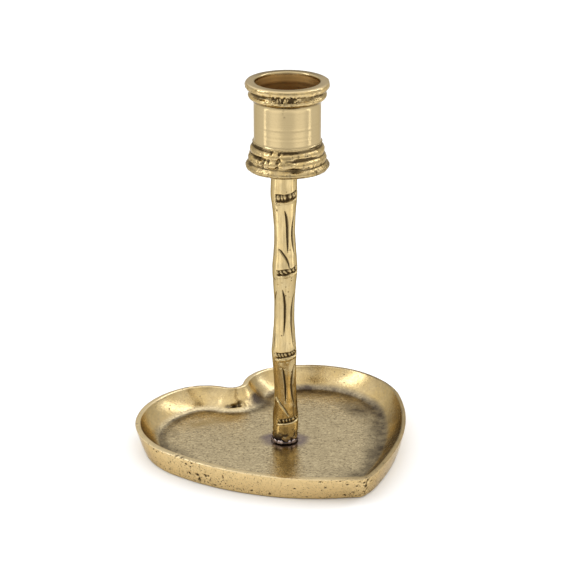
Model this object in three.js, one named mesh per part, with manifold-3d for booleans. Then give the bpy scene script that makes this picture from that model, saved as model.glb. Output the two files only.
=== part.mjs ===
// A brass candlestick: a heart-shaped dish, a bamboo stem and a turned candle cup, with the screws that join them.
// Millimetres, +Z up. The origin is at the middle of the dish's outline, on the surface it stands on, and the tip of
// the heart points to -Y.
import * as THREE from "three";
import { mergeVertices } from "three/addons/utils/BufferGeometryUtils.js";
import Module from "manifold-3d";

// ---------------------------------------------------------------- driving dimensions
const TOTAL_HEIGHT = 140;
const GAP = 0.3; // clearance between pieces that touch on the real object

// Outline of the heart at the top of its rim, from the stem's axis: five arcs that run into each other.
const LOBE_CENTRE = { x: 16.76, y: 10.97 };
const LOBE_RADIUS = 35.14;
const SIDE_RADIUS = 97.1; // the long flank from the lobe to the tip
const FLANK_START = THREE.MathUtils.degToRad(20.9); // below the lobe's widest point
const TIP_RADIUS = 5.2;
const INNER_LOBE_RADIUS = 18; // the tighter curve from the top of the lobe into the notch
const INNER_LOBE_START = THREE.MathUtils.degToRad(85);
const NOTCH_RADIUS = 4.8; // hollow curve between the two lobes

// Dish
const RIM_HEIGHT = 10.2;
const RIM_WIDTH = 2;
const RIM_EDGE = 0.35; // rounding of the rim's two edges
const FLOOR_HEIGHT = 3.1;
const WALL_SLOPE = (50 * Math.PI) / 180; // the inner wall's rise from the floor
const FILLET_RADIUS = 4; // where the inner wall runs into the floor
const FOOT_INSET = 2.8; // how far the outer wall leans in at the bottom
const FOOT_SIDE_RADIUS = 90; // the flanks bulge a little more at the bottom
const FOOT_EDGE = 1.4;
const FOOT_LAND = 7; // width of the flat edge that the dish stands on
const UNDERSIDE_RECESS = 0.8;
const SMALLEST_TIP_RADIUS = 2.4; // inside the dish the tip is never sharper than this

// Stem
const STEM_Y = 4.13; // the stem stands behind the middle of the outline
const STEM_FOOT_RADIUS = 4.7;
const STEM_TOP_RADIUS = 4.6;
const NODE_HEIGHTS = [12.1, 39.1, 71.1, 98.6];
const NODE_RADII = [4.6, 4.45, 4.4, 4.65];
const WAIST_RADII = [4, 3.67, 3.78]; // the narrowest place of each length between two nodes
const BAND_GROOVE_DEPTH = 0.25;
const BAND_HALF_HEIGHT = 1;

// Candle cup
const CUP_OFFSET = { x: 0.78, y: -0.45 }; // the cup sits a little off the stem's axis
const CUP_BOTTOM = 108.5;
const BORE_RADIUS = 11; // for a 22 mm candle
const BORE_FLOOR = 113;
const WASHER_SEAT = { radius: 5.2, depth: 0.3 }; // spot-faced into the bore's floor
const MOUTH_RADIUS = 11.42;
const MOUTH_CHAMFER = 3.2;
const BARREL_RADIUS = 11.79;
const TOP_ROLL_RADIUS = 14.85;
const TOP_GROOVE_RADIUS = 13.45;
const STRAND_RADII = [14.98, 13.9, 13.2]; // the three wrapped strands, from the bottom up
const STRAND_HEIGHTS = [109.85, 113, 115.7];

// Fasteners
const SCREW_RADIUS = 2;
const CUP_SCREW_HEAD = { radius: 3.6, height: 2.2 };
const CUP_SCREW_LENGTH = 14;
const CUP_WASHER = { radius: 4.6, height: 0.8 };
const FOOT_SCREW_HEAD_RADIUS = 3.75;
const FOOT_SCREW_LENGTH = 16;
const SLOT = { width: 0.9, depth: 0.9 };
const BRAZE_BEAD = { radius: 5.9, height: 1.4 };

// ---------------------------------------------------------------- solids
const wasm = await Module();
wasm.setup();

/** A closed three.js geometry as a solid that can be cut. */
function solid(geometry) {
  const bare = geometry.clone();
  bare.deleteAttribute("normal");
  bare.deleteAttribute("uv");
  const merged = mergeVertices(bare, 1e-4);
  return new wasm.Manifold(
    new wasm.Mesh({
      numProp: 3,
      vertProperties: merged.attributes.position.array,
      triVerts: new Uint32Array(merged.index.array),
    }),
  );
}

/** A solid as a geometry with flat-shaded faces. */
function geometryOf(made) {
  const mesh = made.getMesh();
  const geometry = new THREE.BufferGeometry();
  geometry.setAttribute("position", new THREE.BufferAttribute(mesh.vertProperties, 3));
  geometry.setIndex(new THREE.BufferAttribute(mesh.triVerts, 1));
  const faceted = geometry.toNonIndexed();
  faceted.computeVertexNormals();
  return faceted;
}

/** Turns a profile of [radius, height] pairs round the Z axis. */
function turned(profile, segments) {
  const points = profile.map(([radius, height]) => new THREE.Vector2(radius, height));
  return new THREE.LatheGeometry(points, segments).rotateX(Math.PI / 2);
}

/** A plain round cutter or shank from one height to another. */
function rod(radius, bottom, top, segments = 24) {
  return turned([[0, bottom], [radius, bottom], [radius, top], [0, top]], segments);
}

/** Skins a stack of equal-length rings of points and closes both ends with a middle point. */
function skinned(rings, firstMiddle, lastMiddle) {
  const count = rings[0].length;
  const positions = [...rings.flat(), firstMiddle, lastMiddle].flatMap((p) => [p.x, p.y, p.z]);
  const first = rings.length * count;
  const faces = [];
  for (let i = 0; i < count; i++) {
    const next = (i + 1) % count;
    for (let r = 0; r + 1 < rings.length; r++) {
      const low = r * count;
      const high = low + count;
      faces.push(low + i, low + next, high + next, low + i, high + next, high + i);
    }
    const last = first - count;
    faces.push(first, next, i, first + 1, last + i, last + next);
  }
  const geometry = new THREE.BufferGeometry();
  geometry.setAttribute("position", new THREE.Float32BufferAttribute(positions, 3));
  geometry.setIndex(faces);
  return geometry;
}

// ---------------------------------------------------------------- heart-shaped dish
/** Points along one arc, from one angle to another, both ends included. */
function arc(x, y, radius, from, to, steps) {
  return Array.from({ length: steps + 1 }, (_, i) => {
    const angle = from + ((to - from) * i) / steps;
    return new THREE.Vector2(x + radius * Math.cos(angle), y + radius * Math.sin(angle));
  });
}

/** The heart's outline moved inwards by inset, anticlockwise from the tip, as points about the stem's axis. */
function heartOutline(inset, flankRadius) {
  const lobe = LOBE_RADIUS - inset;
  const side = flankRadius - inset;
  const tip = Math.max(TIP_RADIUS - inset, SMALLEST_TIP_RADIUS);
  const inner = INNER_LOBE_RADIUS - inset;
  const notch = NOTCH_RADIUS + inset;
  const sideX = LOBE_CENTRE.x + (LOBE_RADIUS - flankRadius) * Math.cos(FLANK_START);
  const sideY = LOBE_CENTRE.y - (LOBE_RADIUS - flankRadius) * Math.sin(FLANK_START);
  const tipY = sideY - Math.sqrt((side - tip) ** 2 - sideX ** 2);
  const innerX = LOBE_CENTRE.x + (LOBE_RADIUS - INNER_LOBE_RADIUS) * Math.cos(INNER_LOBE_START);
  const innerY = LOBE_CENTRE.y + (LOBE_RADIUS - INNER_LOBE_RADIUS) * Math.sin(INNER_LOBE_START);
  const notchY = innerY + Math.sqrt((inner + notch) ** 2 - innerX ** 2);
  const tipEnd = Math.atan2(tipY - sideY, -sideX); // where the tip's arc runs into the flank
  const notchEnd = Math.atan2(innerY - notchY, innerX); // where the notch's arc runs into the lobe
  const right = [
    ...arc(0, tipY, tip, -Math.PI / 2, tipEnd, 6),
    ...arc(sideX, sideY, side, tipEnd, -FLANK_START, 10).slice(1),
    ...arc(LOBE_CENTRE.x, LOBE_CENTRE.y, lobe, -FLANK_START, INNER_LOBE_START, 16).slice(1),
    ...arc(innerX, innerY, inner, INNER_LOBE_START, Math.PI + notchEnd, 9).slice(1),
    ...arc(0, notchY, notch, notchEnd, -Math.PI / 2, 5).slice(1),
  ];
  const left = right.slice(1, -1).map((p) => new THREE.Vector2(-p.x, p.y));
  return [...right, ...left.reverse()];
}

/** One ring of the dish's skin: the outline at an inset and a height. */
function dishRing(inset, height, flankRadius = SIDE_RADIUS) {
  return heartOutline(inset, flankRadius).map((p) => new THREE.Vector3(p.x, p.y, height));
}

/** The dish as one casting, with a countersunk hole for the foot screw. */
function makeDish() {
  const landInset = FOOT_INSET + FOOT_LAND;
  const rings = [
    dishRing(landInset + UNDERSIDE_RECESS, UNDERSIDE_RECESS, FOOT_SIDE_RADIUS),
    dishRing(landInset, 0, FOOT_SIDE_RADIUS),
    dishRing(FOOT_INSET + FOOT_EDGE, 0, FOOT_SIDE_RADIUS),
    dishRing(FOOT_INSET + FOOT_EDGE * 0.25, FOOT_EDGE * 0.3, FOOT_SIDE_RADIUS),
    dishRing(FOOT_INSET - FOOT_EDGE * 0.2, FOOT_EDGE, FOOT_SIDE_RADIUS),
    dishRing(FOOT_INSET * 0.42, RIM_HEIGHT * 0.5, (FOOT_SIDE_RADIUS + SIDE_RADIUS) / 2),
    dishRing(0, RIM_HEIGHT - RIM_EDGE),
    dishRing(RIM_EDGE, RIM_HEIGHT),
    dishRing(RIM_WIDTH, RIM_HEIGHT),
  ];
  const wallTop = RIM_WIDTH + RIM_EDGE;
  const wallRise = RIM_HEIGHT - RIM_EDGE - FLOOR_HEIGHT;
  const filletEnd =
    wallTop + wallRise / Math.tan(WALL_SLOPE) + FILLET_RADIUS * Math.tan(WALL_SLOPE / 2);
  rings.push(dishRing(wallTop, RIM_HEIGHT - RIM_EDGE));
  const filletSteps = 6;
  for (let i = 0; i <= filletSteps; i++) {
    const angle = WALL_SLOPE * (1 - i / filletSteps);
    const height = FLOOR_HEIGHT + FILLET_RADIUS * (1 - Math.cos(angle));
    rings.push(dishRing(filletEnd - FILLET_RADIUS * Math.sin(angle), height));
  }
  const skin = skinned(
    rings,
    new THREE.Vector3(0, 0, UNDERSIDE_RECESS),
    new THREE.Vector3(0, 0, FLOOR_HEIGHT),
  );
  const coneTop = UNDERSIDE_RECESS + FOOT_SCREW_HEAD_RADIUS - SCREW_RADIUS;
  const countersunkHole = turned(
    [
      [0, -1],
      [FOOT_SCREW_HEAD_RADIUS + GAP, -1],
      [FOOT_SCREW_HEAD_RADIUS + GAP, UNDERSIDE_RECESS],
      [SCREW_RADIUS + GAP, coneTop],
      [SCREW_RADIUS + GAP, FLOOR_HEIGHT + 1],
      [0, FLOOR_HEIGHT + 1],
    ],
    32,
  );
  return geometryOf(solid(skin).subtract(solid(countersunkHole)));
}

// ---------------------------------------------------------------- bamboo stem
/** The stem's radius at a height: fullest just above each node and pinched to a waist between two of them. */
function stemRadius(height) {
  const last = NODE_HEIGHTS.length - 1;
  if (height <= NODE_HEIGHTS[0]) {
    const share = height / NODE_HEIGHTS[0];
    return THREE.MathUtils.lerp(STEM_FOOT_RADIUS, NODE_RADII[0], share);
  }
  if (height >= NODE_HEIGHTS[last]) {
    const share = (height - NODE_HEIGHTS[last]) / (CUP_BOTTOM - NODE_HEIGHTS[last]);
    return THREE.MathUtils.lerp(NODE_RADII[last], STEM_TOP_RADIUS, share);
  }
  const lower = NODE_HEIGHTS.findLastIndex((node) => node <= height);
  const share = (height - NODE_HEIGHTS[lower]) / (NODE_HEIGHTS[lower + 1] - NODE_HEIGHTS[lower]);
  const ends = THREE.MathUtils.lerp(NODE_RADII[lower], NODE_RADII[lower + 1], share);
  return ends - (ends - WAIST_RADII[lower]) * Math.sin(Math.PI * share) ** 1.5;
}

/** The stem as one turned form with a groove at each node, and a blind hole in each end for its screw. */
function makeStem() {
  const bottom = FLOOR_HEIGHT + GAP;
  const top = CUP_BOTTOM - GAP;
  const heights = [];
  const stations = 32;
  for (let i = 0; i <= stations; i++) heights.push(bottom + ((top - bottom) * i) / stations);
  const clear = heights.filter((h) => NODE_HEIGHTS.every((node) => Math.abs(h - node) > 2 * BAND_HALF_HEIGHT));
  const profile = clear.map((h) => [stemRadius(h), h]);
  for (const node of NODE_HEIGHTS) {
    const full = stemRadius(node) + 0.1;
    profile.push([full, node - BAND_HALF_HEIGHT * 1.3]);
    profile.push([full - BAND_GROOVE_DEPTH, node - BAND_HALF_HEIGHT * 0.8]);
    profile.push([full - BAND_GROOVE_DEPTH, node + BAND_HALF_HEIGHT * 0.8]);
    profile.push([full, node + BAND_HALF_HEIGHT * 1.3]);
  }
  profile.sort((a, b) => a[1] - b[1]);
  const body = turned([[0, bottom], ...profile, [0, top]], 28);
  const cupHole = rod(SCREW_RADIUS + GAP, BORE_FLOOR + CUP_WASHER.height - CUP_SCREW_LENGTH - 1, top + 1);
  cupHole.translate(CUP_OFFSET.x, CUP_OFFSET.y, 0);
  const footHole = rod(SCREW_RADIUS + GAP, bottom - 1, UNDERSIDE_RECESS + FOOT_SCREW_LENGTH + 1);
  return geometryOf(solid(body).subtract(solid(cupHole)).subtract(solid(footHole)));
}

// ---------------------------------------------------------------- candle cup
/**
 * A rounded strand as profile points, bulging out from a base radius to its full radius. A fullness below 1 makes its
 * section squarer.
 */
function strand(height, halfHeight, base, full, steps = 5, fullness = 1) {
  return Array.from({ length: steps + 1 }, (_, i) => {
    const angle = -Math.PI / 2 + (Math.PI * i) / steps;
    const swell = Math.max(0, Math.cos(angle)) ** fullness;
    return [base + (full - base) * swell, height + halfHeight * Math.sin(angle)];
  });
}

/** The cup as one turned casting, with a hole in its floor for the cup screw. */
function makeCup() {
  const [bottomStrand, middleStrand, topStrand] = STRAND_RADII;
  const profile = [
    [0, CUP_BOTTOM],
    [14.2, CUP_BOTTOM],
    ...strand(STRAND_HEIGHTS[0], 1.3, 14.2, bottomStrand).slice(1),
    ...strand(STRAND_HEIGHTS[1], 1.35, 12.95, middleStrand),
    ...strand(STRAND_HEIGHTS[2], 1.3, 12.5, topStrand),
    [12.1, 117.7],
    [BARREL_RADIUS, 118.8],
    [BARREL_RADIUS, 132.3],
    [12.4, 133.9],
    ...strand(135.3, 0.7, 13.3, 13.75, 4),
    [TOP_GROOVE_RADIUS, 136.3],
    [TOP_GROOVE_RADIUS, 136.9],
    ...strand(138.7, 1.3, 13.4, TOP_ROLL_RADIUS, 8, 0.5),
    [MOUTH_RADIUS, TOTAL_HEIGHT],
    [BORE_RADIUS, TOTAL_HEIGHT - MOUTH_CHAMFER],
    [BORE_RADIUS, BORE_FLOOR],
    [WASHER_SEAT.radius, BORE_FLOOR],
    [WASHER_SEAT.radius, BORE_FLOOR - WASHER_SEAT.depth],
    [0, BORE_FLOOR - WASHER_SEAT.depth],
  ];
  const hole = rod(SCREW_RADIUS + GAP, CUP_BOTTOM - 1, BORE_FLOOR + 1);
  return geometryOf(solid(turned(profile, 40)).subtract(solid(hole)));
}

// ---------------------------------------------------------------- screws, washer and braze
/** A cutter for a screwdriver slot across a head whose outer face is at the given height. */
function slotCutter(headRadius, face, depth) {
  const box = new THREE.BoxGeometry(3 * headRadius, SLOT.width, 2 * depth);
  return solid(box.translate(0, 0, face));
}

/** The screw through the cup's floor, head up. */
function makeCupScrew() {
  const seat = BORE_FLOOR - WASHER_SEAT.depth + CUP_WASHER.height + 2 * GAP;
  const top = seat + CUP_SCREW_HEAD.height;
  const body = turned(
    [
      [0, seat - CUP_SCREW_LENGTH],
      [SCREW_RADIUS * 0.7, seat - CUP_SCREW_LENGTH],
      [SCREW_RADIUS, seat - CUP_SCREW_LENGTH + 0.7],
      [SCREW_RADIUS, seat],
      [CUP_SCREW_HEAD.radius, seat],
      [CUP_SCREW_HEAD.radius, seat + 0.55 * CUP_SCREW_HEAD.height],
      [0.85 * CUP_SCREW_HEAD.radius, seat + 0.85 * CUP_SCREW_HEAD.height],
      [0.55 * CUP_SCREW_HEAD.radius, top],
      [0, top],
    ],
    32,
  );
  return geometryOf(solid(body).subtract(slotCutter(CUP_SCREW_HEAD.radius, top, SLOT.depth)));
}

/** The washer under the cup screw's head. */
function makeCupWasher() {
  const bottom = BORE_FLOOR - WASHER_SEAT.depth + GAP;
  const top = bottom + CUP_WASHER.height;
  const inner = SCREW_RADIUS + GAP;
  const edge = 0.15;
  return turned(
    [
      [inner, bottom],
      [CUP_WASHER.radius - edge, bottom],
      [CUP_WASHER.radius, bottom + edge],
      [CUP_WASHER.radius, top - edge],
      [CUP_WASHER.radius - edge, top],
      [inner, top],
      [inner, bottom],
    ],
    32,
  );
}

/** The countersunk screw from below into the stem's foot. */
function makeFootScrew() {
  const face = UNDERSIDE_RECESS + GAP;
  const coneTop = face + FOOT_SCREW_HEAD_RADIUS - SCREW_RADIUS;
  const top = UNDERSIDE_RECESS + FOOT_SCREW_LENGTH;
  const body = turned(
    [
      [0, face],
      [FOOT_SCREW_HEAD_RADIUS - 0.2, face],
      [FOOT_SCREW_HEAD_RADIUS - 0.2, face + 0.2],
      [SCREW_RADIUS, coneTop],
      [SCREW_RADIUS, top - 0.7],
      [SCREW_RADIUS * 0.7, top],
      [0, top],
    ],
    32,
  );
  return geometryOf(solid(body).subtract(slotCutter(FOOT_SCREW_HEAD_RADIUS, face, SLOT.depth)));
}

/** The bead of filler metal round the stem's foot. */
function makeBrazeBead() {
  const bottom = FLOOR_HEIGHT + GAP;
  const inner = STEM_FOOT_RADIUS + GAP;
  const width = BRAZE_BEAD.radius - inner;
  const steps = 5;
  const profile = [[inner, bottom]];
  for (let i = 0; i <= steps; i++) {
    const angle = (i / steps) * (Math.PI / 2);
    profile.push([inner + width * Math.cos(angle), bottom + BRAZE_BEAD.height * Math.sin(angle)]);
  }
  profile[profile.length - 1][0] = inner;
  profile.push([inner, bottom]);
  return turned(profile, 28);
}

// ---------------------------------------------------------------- assembly
const castBrass = { color: 0xc8a65c, roughness: 0.42, metalness: 1 };
const dishBrass = { color: 0xb89b5e, roughness: 0.5, metalness: 1 };
const satinBrass = { color: 0xd8bb7c, roughness: 0.35, metalness: 1 };
const screwBrass = { color: 0xa98a4a, roughness: 0.45, metalness: 1 };
const brazeFiller = { color: 0xa89a94, roughness: 0.5, metalness: 1 };

/** A named mesh with its own material. */
function piece(name, geometry, finish) {
  const mesh = new THREE.Mesh(geometry, new THREE.MeshStandardMaterial(finish));
  mesh.name = name;
  return mesh;
}

const cupGroup = new THREE.Group();
cupGroup.position.set(CUP_OFFSET.x, CUP_OFFSET.y, 0);
cupGroup.add(
  piece("candle_cup", makeCup(), satinBrass),
  piece("cup_washer", makeCupWasher(), screwBrass),
  piece("cup_screw", makeCupScrew(), screwBrass),
);

const candlestick = new THREE.Group();
candlestick.position.set(0, STEM_Y, 0);
candlestick.add(
  piece("heart_dish", makeDish(), dishBrass),
  piece("bamboo_stem", makeStem(), castBrass),
  piece("foot_screw", makeFootScrew(), screwBrass),
  piece("foot_braze_bead", makeBrazeBead(), brazeFiller),
  cupGroup,
);

const part = new THREE.Group();
part.add(candlestick);
export default part;
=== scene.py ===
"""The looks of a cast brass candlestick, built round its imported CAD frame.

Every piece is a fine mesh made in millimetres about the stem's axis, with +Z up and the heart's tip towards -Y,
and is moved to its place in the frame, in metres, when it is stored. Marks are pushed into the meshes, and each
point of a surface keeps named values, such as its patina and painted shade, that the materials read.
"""

import math

import bmesh
import bpy
import numpy as np
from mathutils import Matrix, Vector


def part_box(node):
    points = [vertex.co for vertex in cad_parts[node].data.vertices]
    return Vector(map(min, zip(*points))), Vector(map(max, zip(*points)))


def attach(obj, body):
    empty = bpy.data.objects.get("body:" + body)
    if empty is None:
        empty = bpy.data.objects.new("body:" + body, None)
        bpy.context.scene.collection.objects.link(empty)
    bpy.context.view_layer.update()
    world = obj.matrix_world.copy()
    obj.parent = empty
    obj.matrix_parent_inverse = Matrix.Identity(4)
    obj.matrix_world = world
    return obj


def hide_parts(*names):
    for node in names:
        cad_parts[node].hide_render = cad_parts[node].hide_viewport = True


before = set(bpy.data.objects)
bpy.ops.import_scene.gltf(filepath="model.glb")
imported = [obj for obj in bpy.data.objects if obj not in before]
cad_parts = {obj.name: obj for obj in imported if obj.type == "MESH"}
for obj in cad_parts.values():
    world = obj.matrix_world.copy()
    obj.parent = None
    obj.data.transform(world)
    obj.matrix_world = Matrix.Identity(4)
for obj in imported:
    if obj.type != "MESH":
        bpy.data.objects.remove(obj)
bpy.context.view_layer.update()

MM = 0.001


# --- places taken from the frame
def box_mm(node):
    """A CAD node's lowest and highest corners in millimetres."""
    low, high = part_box(node)
    return np.array(low) / MM, np.array(high) / MM


RIM_HEIGHT = box_mm("heart_dish")[1][2]
STEM_LOW, STEM_HIGH = box_mm("bamboo_stem")
CUP_LOW, CUP_HIGH = box_mm("candle_cup")
CUP_SCREW_LOW, CUP_SCREW_HIGH = box_mm("cup_screw")
WASHER_LOW, WASHER_HIGH = box_mm("cup_washer")
FOOT_SCREW_LOW, FOOT_SCREW_HIGH = box_mm("foot_screw")
BEAD_LOW, BEAD_HIGH = box_mm("foot_braze_bead")

STEM_AXIS = (STEM_LOW + STEM_HIGH)[:2] / 2
CUP_AXIS = (CUP_LOW + CUP_HIGH)[:2] / 2
CUP_SHIFT = CUP_AXIS - STEM_AXIS
GAP = 0.3  # between pieces that touch on the real object
FLOOR_HEIGHT = STEM_LOW[2] - GAP

# --- driving dimensions, in millimetres
# The heart's outline at the top of its rim: five arcs on each side, from the tip to the notch.
LOBE_CENTRE = (16.76, 10.97)
LOBE_RADIUS = 35.14
SIDE_RADIUS = 97.1
FLANK_START = math.radians(20.9)
TIP_RADIUS = 5.2
INNER_LOBE_RADIUS = 18.0
INNER_LOBE_START = math.radians(85)
NOTCH_RADIUS = 4.8
SMALLEST_TIP_RADIUS = 2.4

RIM_WIDTH = 2.0
RIM_ROUND = 0.3
TIP_LEAN = 1.7  # how far the tip is skewed to the right
TIP_FOOT_LEAN = 1.2  # and how much further at its foot
STEEPER = 1.1  # how much wider the foot is on the right
CORE_SHIFT = np.array([0.6, 0.5])  # the hollow sits off centre in the casting
WALL_TOP_SLOPE = math.radians(62)  # the inner wall's rise just under the rim
WALL_LOW_SLOPE = math.radians(38)  # and where it starts to turn into the floor
TURN_SHARE = 0.72  # how far down its length the wall starts to turn
FOOT_INSET = 2.8
FOOT_SIDE_RADIUS = 90.0
FOOT_ROUND = 1.4
FOOT_LAND = 7.0
UNDERSIDE_RECESS = 0.8

NODE_HEIGHTS = (12.6, 38.6, 70.7, 98.7)
NODE_RADII = (4.55, 4.4, 4.4, 4.62)
WAIST_RADII = (4.0, 3.67, 3.78)
STEM_FOOT_RADIUS = 4.68
STEM_MEAN_RADIUS = 4.2  # turns degrees round the stem into millimetres
STEM_END_ROUND = 0.12

BORE_RADIUS = 11.0
BORE_FLOOR = 113.0
WASHER_SEAT_RADIUS = 5.2
MOUTH_RADIUS = 11.42
MOUTH_TAPER = 3.2  # how far down the bore widens towards the mouth
ROLL_RADIUS = 14.85
BARREL_RADIUS = 11.79
BARREL_TOP = 132.2
CUP_MEAN_RADIUS = 13.5  # turns degrees round the cup's bands into millimetres

SCREW_RADIUS = 2.0
SCREW_TIP_RADIUS = SCREW_RADIUS * 0.62
SCREW_HOLE_RADIUS = SCREW_RADIUS + GAP
SCREW_PITCH = 0.7
PAN_HEAD_HEIGHT = 2.2
THREAD_DEPTH = 0.38
SLOT_WIDTH = 0.9
SLOT_DEPTH = 0.9
HUB = 0.2  # the radius of a screw's innermost ring of points

# Points round a ring, numbers of rings, and the spacing of the cup's rings.
DISH_COLUMNS, STEM_COLUMNS, CUP_COLUMNS = 700, 150, 400
SCREW_COLUMNS, WASHER_COLUMNS, BEAD_COLUMNS = 72, 96, 240
FLOOR_RINGS, UNDER_RINGS, STEM_RINGS = 36, 13, 620
HUB_SHARE = 0.00875  # the size of the floor's last ring
CUP_SPACING = 0.42

# The side of the object that the camera faces: angles round the stem and the cup are counted from here.
VIEW_AZIMUTH = math.radians(-29.9)
FRONT_ANGLE = VIEW_AZIMUTH - math.pi / 2
VIEW_RIGHT = np.array([math.cos(VIEW_AZIMUTH), math.sin(VIEW_AZIMUTH)])
VIEW_NEAR = np.array([VIEW_RIGHT[1], -VIEW_RIGHT[0]])


# --- numbers
def smoothstep(low, high, value):
    """0 below low, 1 above high and a smooth ramp between them; low may be the larger one."""
    share = np.clip((value - low) / (high - low), 0, 1)
    return share * share * (3 - 2 * share)


def bell(value, width):
    """1 at nought, falling off smoothly on both sides."""
    return np.exp(-((value / width) ** 2))


def spot(a, b, power=1.0):
    """1 where both values are nought, falling off all round; a higher power gives it a flatter top."""
    return np.exp(-((a**2 + b**2) ** power))


def lattice_noise(points, size, seed):
    """Smooth noise between -1 and 1 at (n, 3) points, with blobs about size millimetres across."""
    table = np.random.default_rng(seed).uniform(-1, 1, (32, 32, 32))
    scaled = points / size
    cell = np.floor(scaled).astype(int)
    share = scaled - cell
    share = share * share * (3 - 2 * share)
    total = np.zeros(len(points))
    for corner in np.ndindex(2, 2, 2):
        weight = np.prod(np.where(corner, share, 1 - share), axis=1)
        x, y, z = ((cell + corner) % 32).T
        total += weight * table[x, y, z]
    return total


def grid_noise(grid, size, seed):
    """The same noise at the points of a grid."""
    return lattice_noise(grid.reshape(-1, 3), size, seed).reshape(grid.shape[:2])


def angle_difference(angle, centre):
    """The signed difference of two angles, between minus pi and pi."""
    return (angle - centre + math.pi) % (2 * math.pi) - math.pi


def unit_circle(angles):
    """The direction outwards at each angle, ready to multiply a grid's rings."""
    return np.stack([np.cos(angles), np.sin(angles)], axis=-1)[None]


# --- meshes
def add_object(name, data):
    """A new object in the scene."""
    made = bpy.data.objects.new(name, data)
    bpy.context.collection.objects.link(made)
    return made


def grid_normals(grid):
    """Unit normals of a (rows, columns, 3) grid that closes on itself along its columns."""
    across = np.roll(grid, -1, axis=1) - np.roll(grid, 1, axis=1)
    normal = np.cross(across, np.gradient(grid, axis=0))
    length = np.linalg.norm(normal, axis=2, keepdims=True)
    return normal / np.maximum(length, 1e-9)


def store_piece(name, grid, material, values, ends="middle", axis=STEM_AXIS):
    """Makes an object of a grid of rings. ends: "middle" closes both ends on a middle point, and "joined" joins
    the last ring to the first. values are named numbers for each point, kept on the mesh for its material."""
    rows, columns, _ = grid.shape
    points = grid.reshape(-1, 3)
    index = np.arange(rows * columns).reshape(rows, columns)
    below, above = (index, np.roll(index, -1, axis=0)) if ends == "joined" else (index[:-1], index[1:])
    quads = np.stack([below, np.roll(below, -1, 1), np.roll(above, -1, 1), above], axis=-1)
    faces = quads.reshape(-1, 4).tolist()
    if ends == "middle":
        points = np.vstack([points, grid[0].mean(axis=0), grid[-1].mean(axis=0)])
        for ring, middle, way in ((index[0], rows * columns, -1), (index[-1], rows * columns + 1, 1)):
            pairs = np.stack([ring, np.roll(ring, -1)], axis=-1)[:, ::way]
            faces += [[a, b, middle] for a, b in pairs.tolist()]
    mesh = bpy.data.meshes.new(name)
    mesh.from_pydata(((points + (axis[0], axis[1], 0)) * MM).tolist(), [], faces)
    for key, field in values.items():
        flat = np.zeros(len(points), dtype=np.float32)
        flat[: rows * columns] = field.reshape(-1)
        mesh.attributes.new(key, "FLOAT", "POINT").data.foreach_set("value", flat)
    mesh.shade_smooth()
    mesh.materials.append(material)
    return add_object(name, mesh)


def resample(curve, spacing):
    """A polyline of rows resampled at about even spacing, measured over its first two columns."""
    curve = np.asarray(curve, float)
    steps = np.linalg.norm(np.diff(curve[:, :2], axis=0), axis=1)
    length = np.concatenate([[0], np.cumsum(steps)])
    count = max(2, int(round(length[-1] / spacing)) + 1)
    where = np.linspace(0, length[-1], count)
    return np.column_stack([np.interp(where, length, column) for column in curve.T])


def rounding(centre, radius, start, end, steps=8):
    """Points on an arc in a section, with angles in degrees."""
    angles = np.radians(np.linspace(start, end, steps + 1))
    return np.column_stack([centre[0] + radius * np.cos(angles), centre[1] + radius * np.sin(angles)])


def turned_grid(section, columns):
    """Turns (radius, height) rows round a vertical axis, or round a centre that each row adds."""
    section = np.asarray(section, float)
    angles = np.linspace(0, 2 * math.pi, columns, endpoint=False)
    middle = section[:, 2:4] if section.shape[1] >= 4 else np.zeros((len(section), 2))
    x = middle[:, :1] + section[:, :1] * np.cos(angles)
    y = middle[:, 1:2] + section[:, :1] * np.sin(angles)
    z = np.repeat(section[:, 1:2], columns, axis=1)
    return np.stack([x, y, z], axis=-1), angles


class Skin:
    """A casting's surface while it is worked on: each point's push outwards and its patina, which also holds
    painted shade.
    """

    def __init__(self, grid, angles=None):
        self.grid = grid
        self.height = grid[..., 2].copy()
        self.push = np.zeros(self.height.shape)
        self.patina_and_shade = np.zeros(self.height.shape)
        if angles is not None:
            self.degrees = np.degrees(angle_difference(angles, FRONT_ANGLE))[None, :]

    def noise(self, size, seed):
        """Smooth noise at each point."""
        return grid_noise(self.grid, size, seed)

    def off(self, turn):
        """Degrees round the axis from the place that lies turn degrees from the front."""
        return np.degrees(angle_difference(np.radians(self.degrees), math.radians(turn)))

    def darken(self, share):
        """Raises the patina, and the painted shade held with it, to a share, where it is less."""
        self.patina_and_shade = np.maximum(self.patina_and_shade, share)

    def press(self, near, depth, darkness):
        """Pushes the points in and darkens them, as far as they are near."""
        self.push = self.push - depth * near
        self.darken(darkness * near)

    def pit(self, turn, level, size, radius):
        """A round spot, for a pit: turn in degrees, and the rest in millimetres."""
        return spot(np.radians(self.off(turn)) * radius / size, (self.height - level) / size)


# --- materials
class Nodes:
    """A tree of shader nodes."""

    def __init__(self, tree):
        self.tree = tree

    def feed(self, socket, value):
        """Links a socket, or sets it to a plain value."""
        if isinstance(value, bpy.types.NodeSocket):
            self.tree.links.new(value, socket)
        else:
            socket.default_value = (*value, 1) if socket.type == "RGBA" else value

    def node(self, kind, inputs, **settings):
        """A new node with its settings and its inputs, which are sockets to link or plain values."""
        made = self.tree.nodes.new("ShaderNode" + kind)
        for key, value in settings.items():
            setattr(made, key, value)
        for key, value in inputs.items():
            self.feed(made.inputs[key], value)
        return made

    def math(self, operation, first, second, clamp=False):
        """Two values put together by one operation."""
        return self.node("Math", {0: first, 1: second}, operation=operation, use_clamp=clamp).outputs["Value"]

    def range(self, value, low, high, to_low=0.0, to_high=1.0, **settings):
        """A value mapped from one range to another and held inside it."""
        inputs = {"Value": value, "From Min": low, "From Max": high, "To Min": to_low, "To Max": to_high}
        return self.node("MapRange", inputs, **settings).outputs["Result"]


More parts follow.
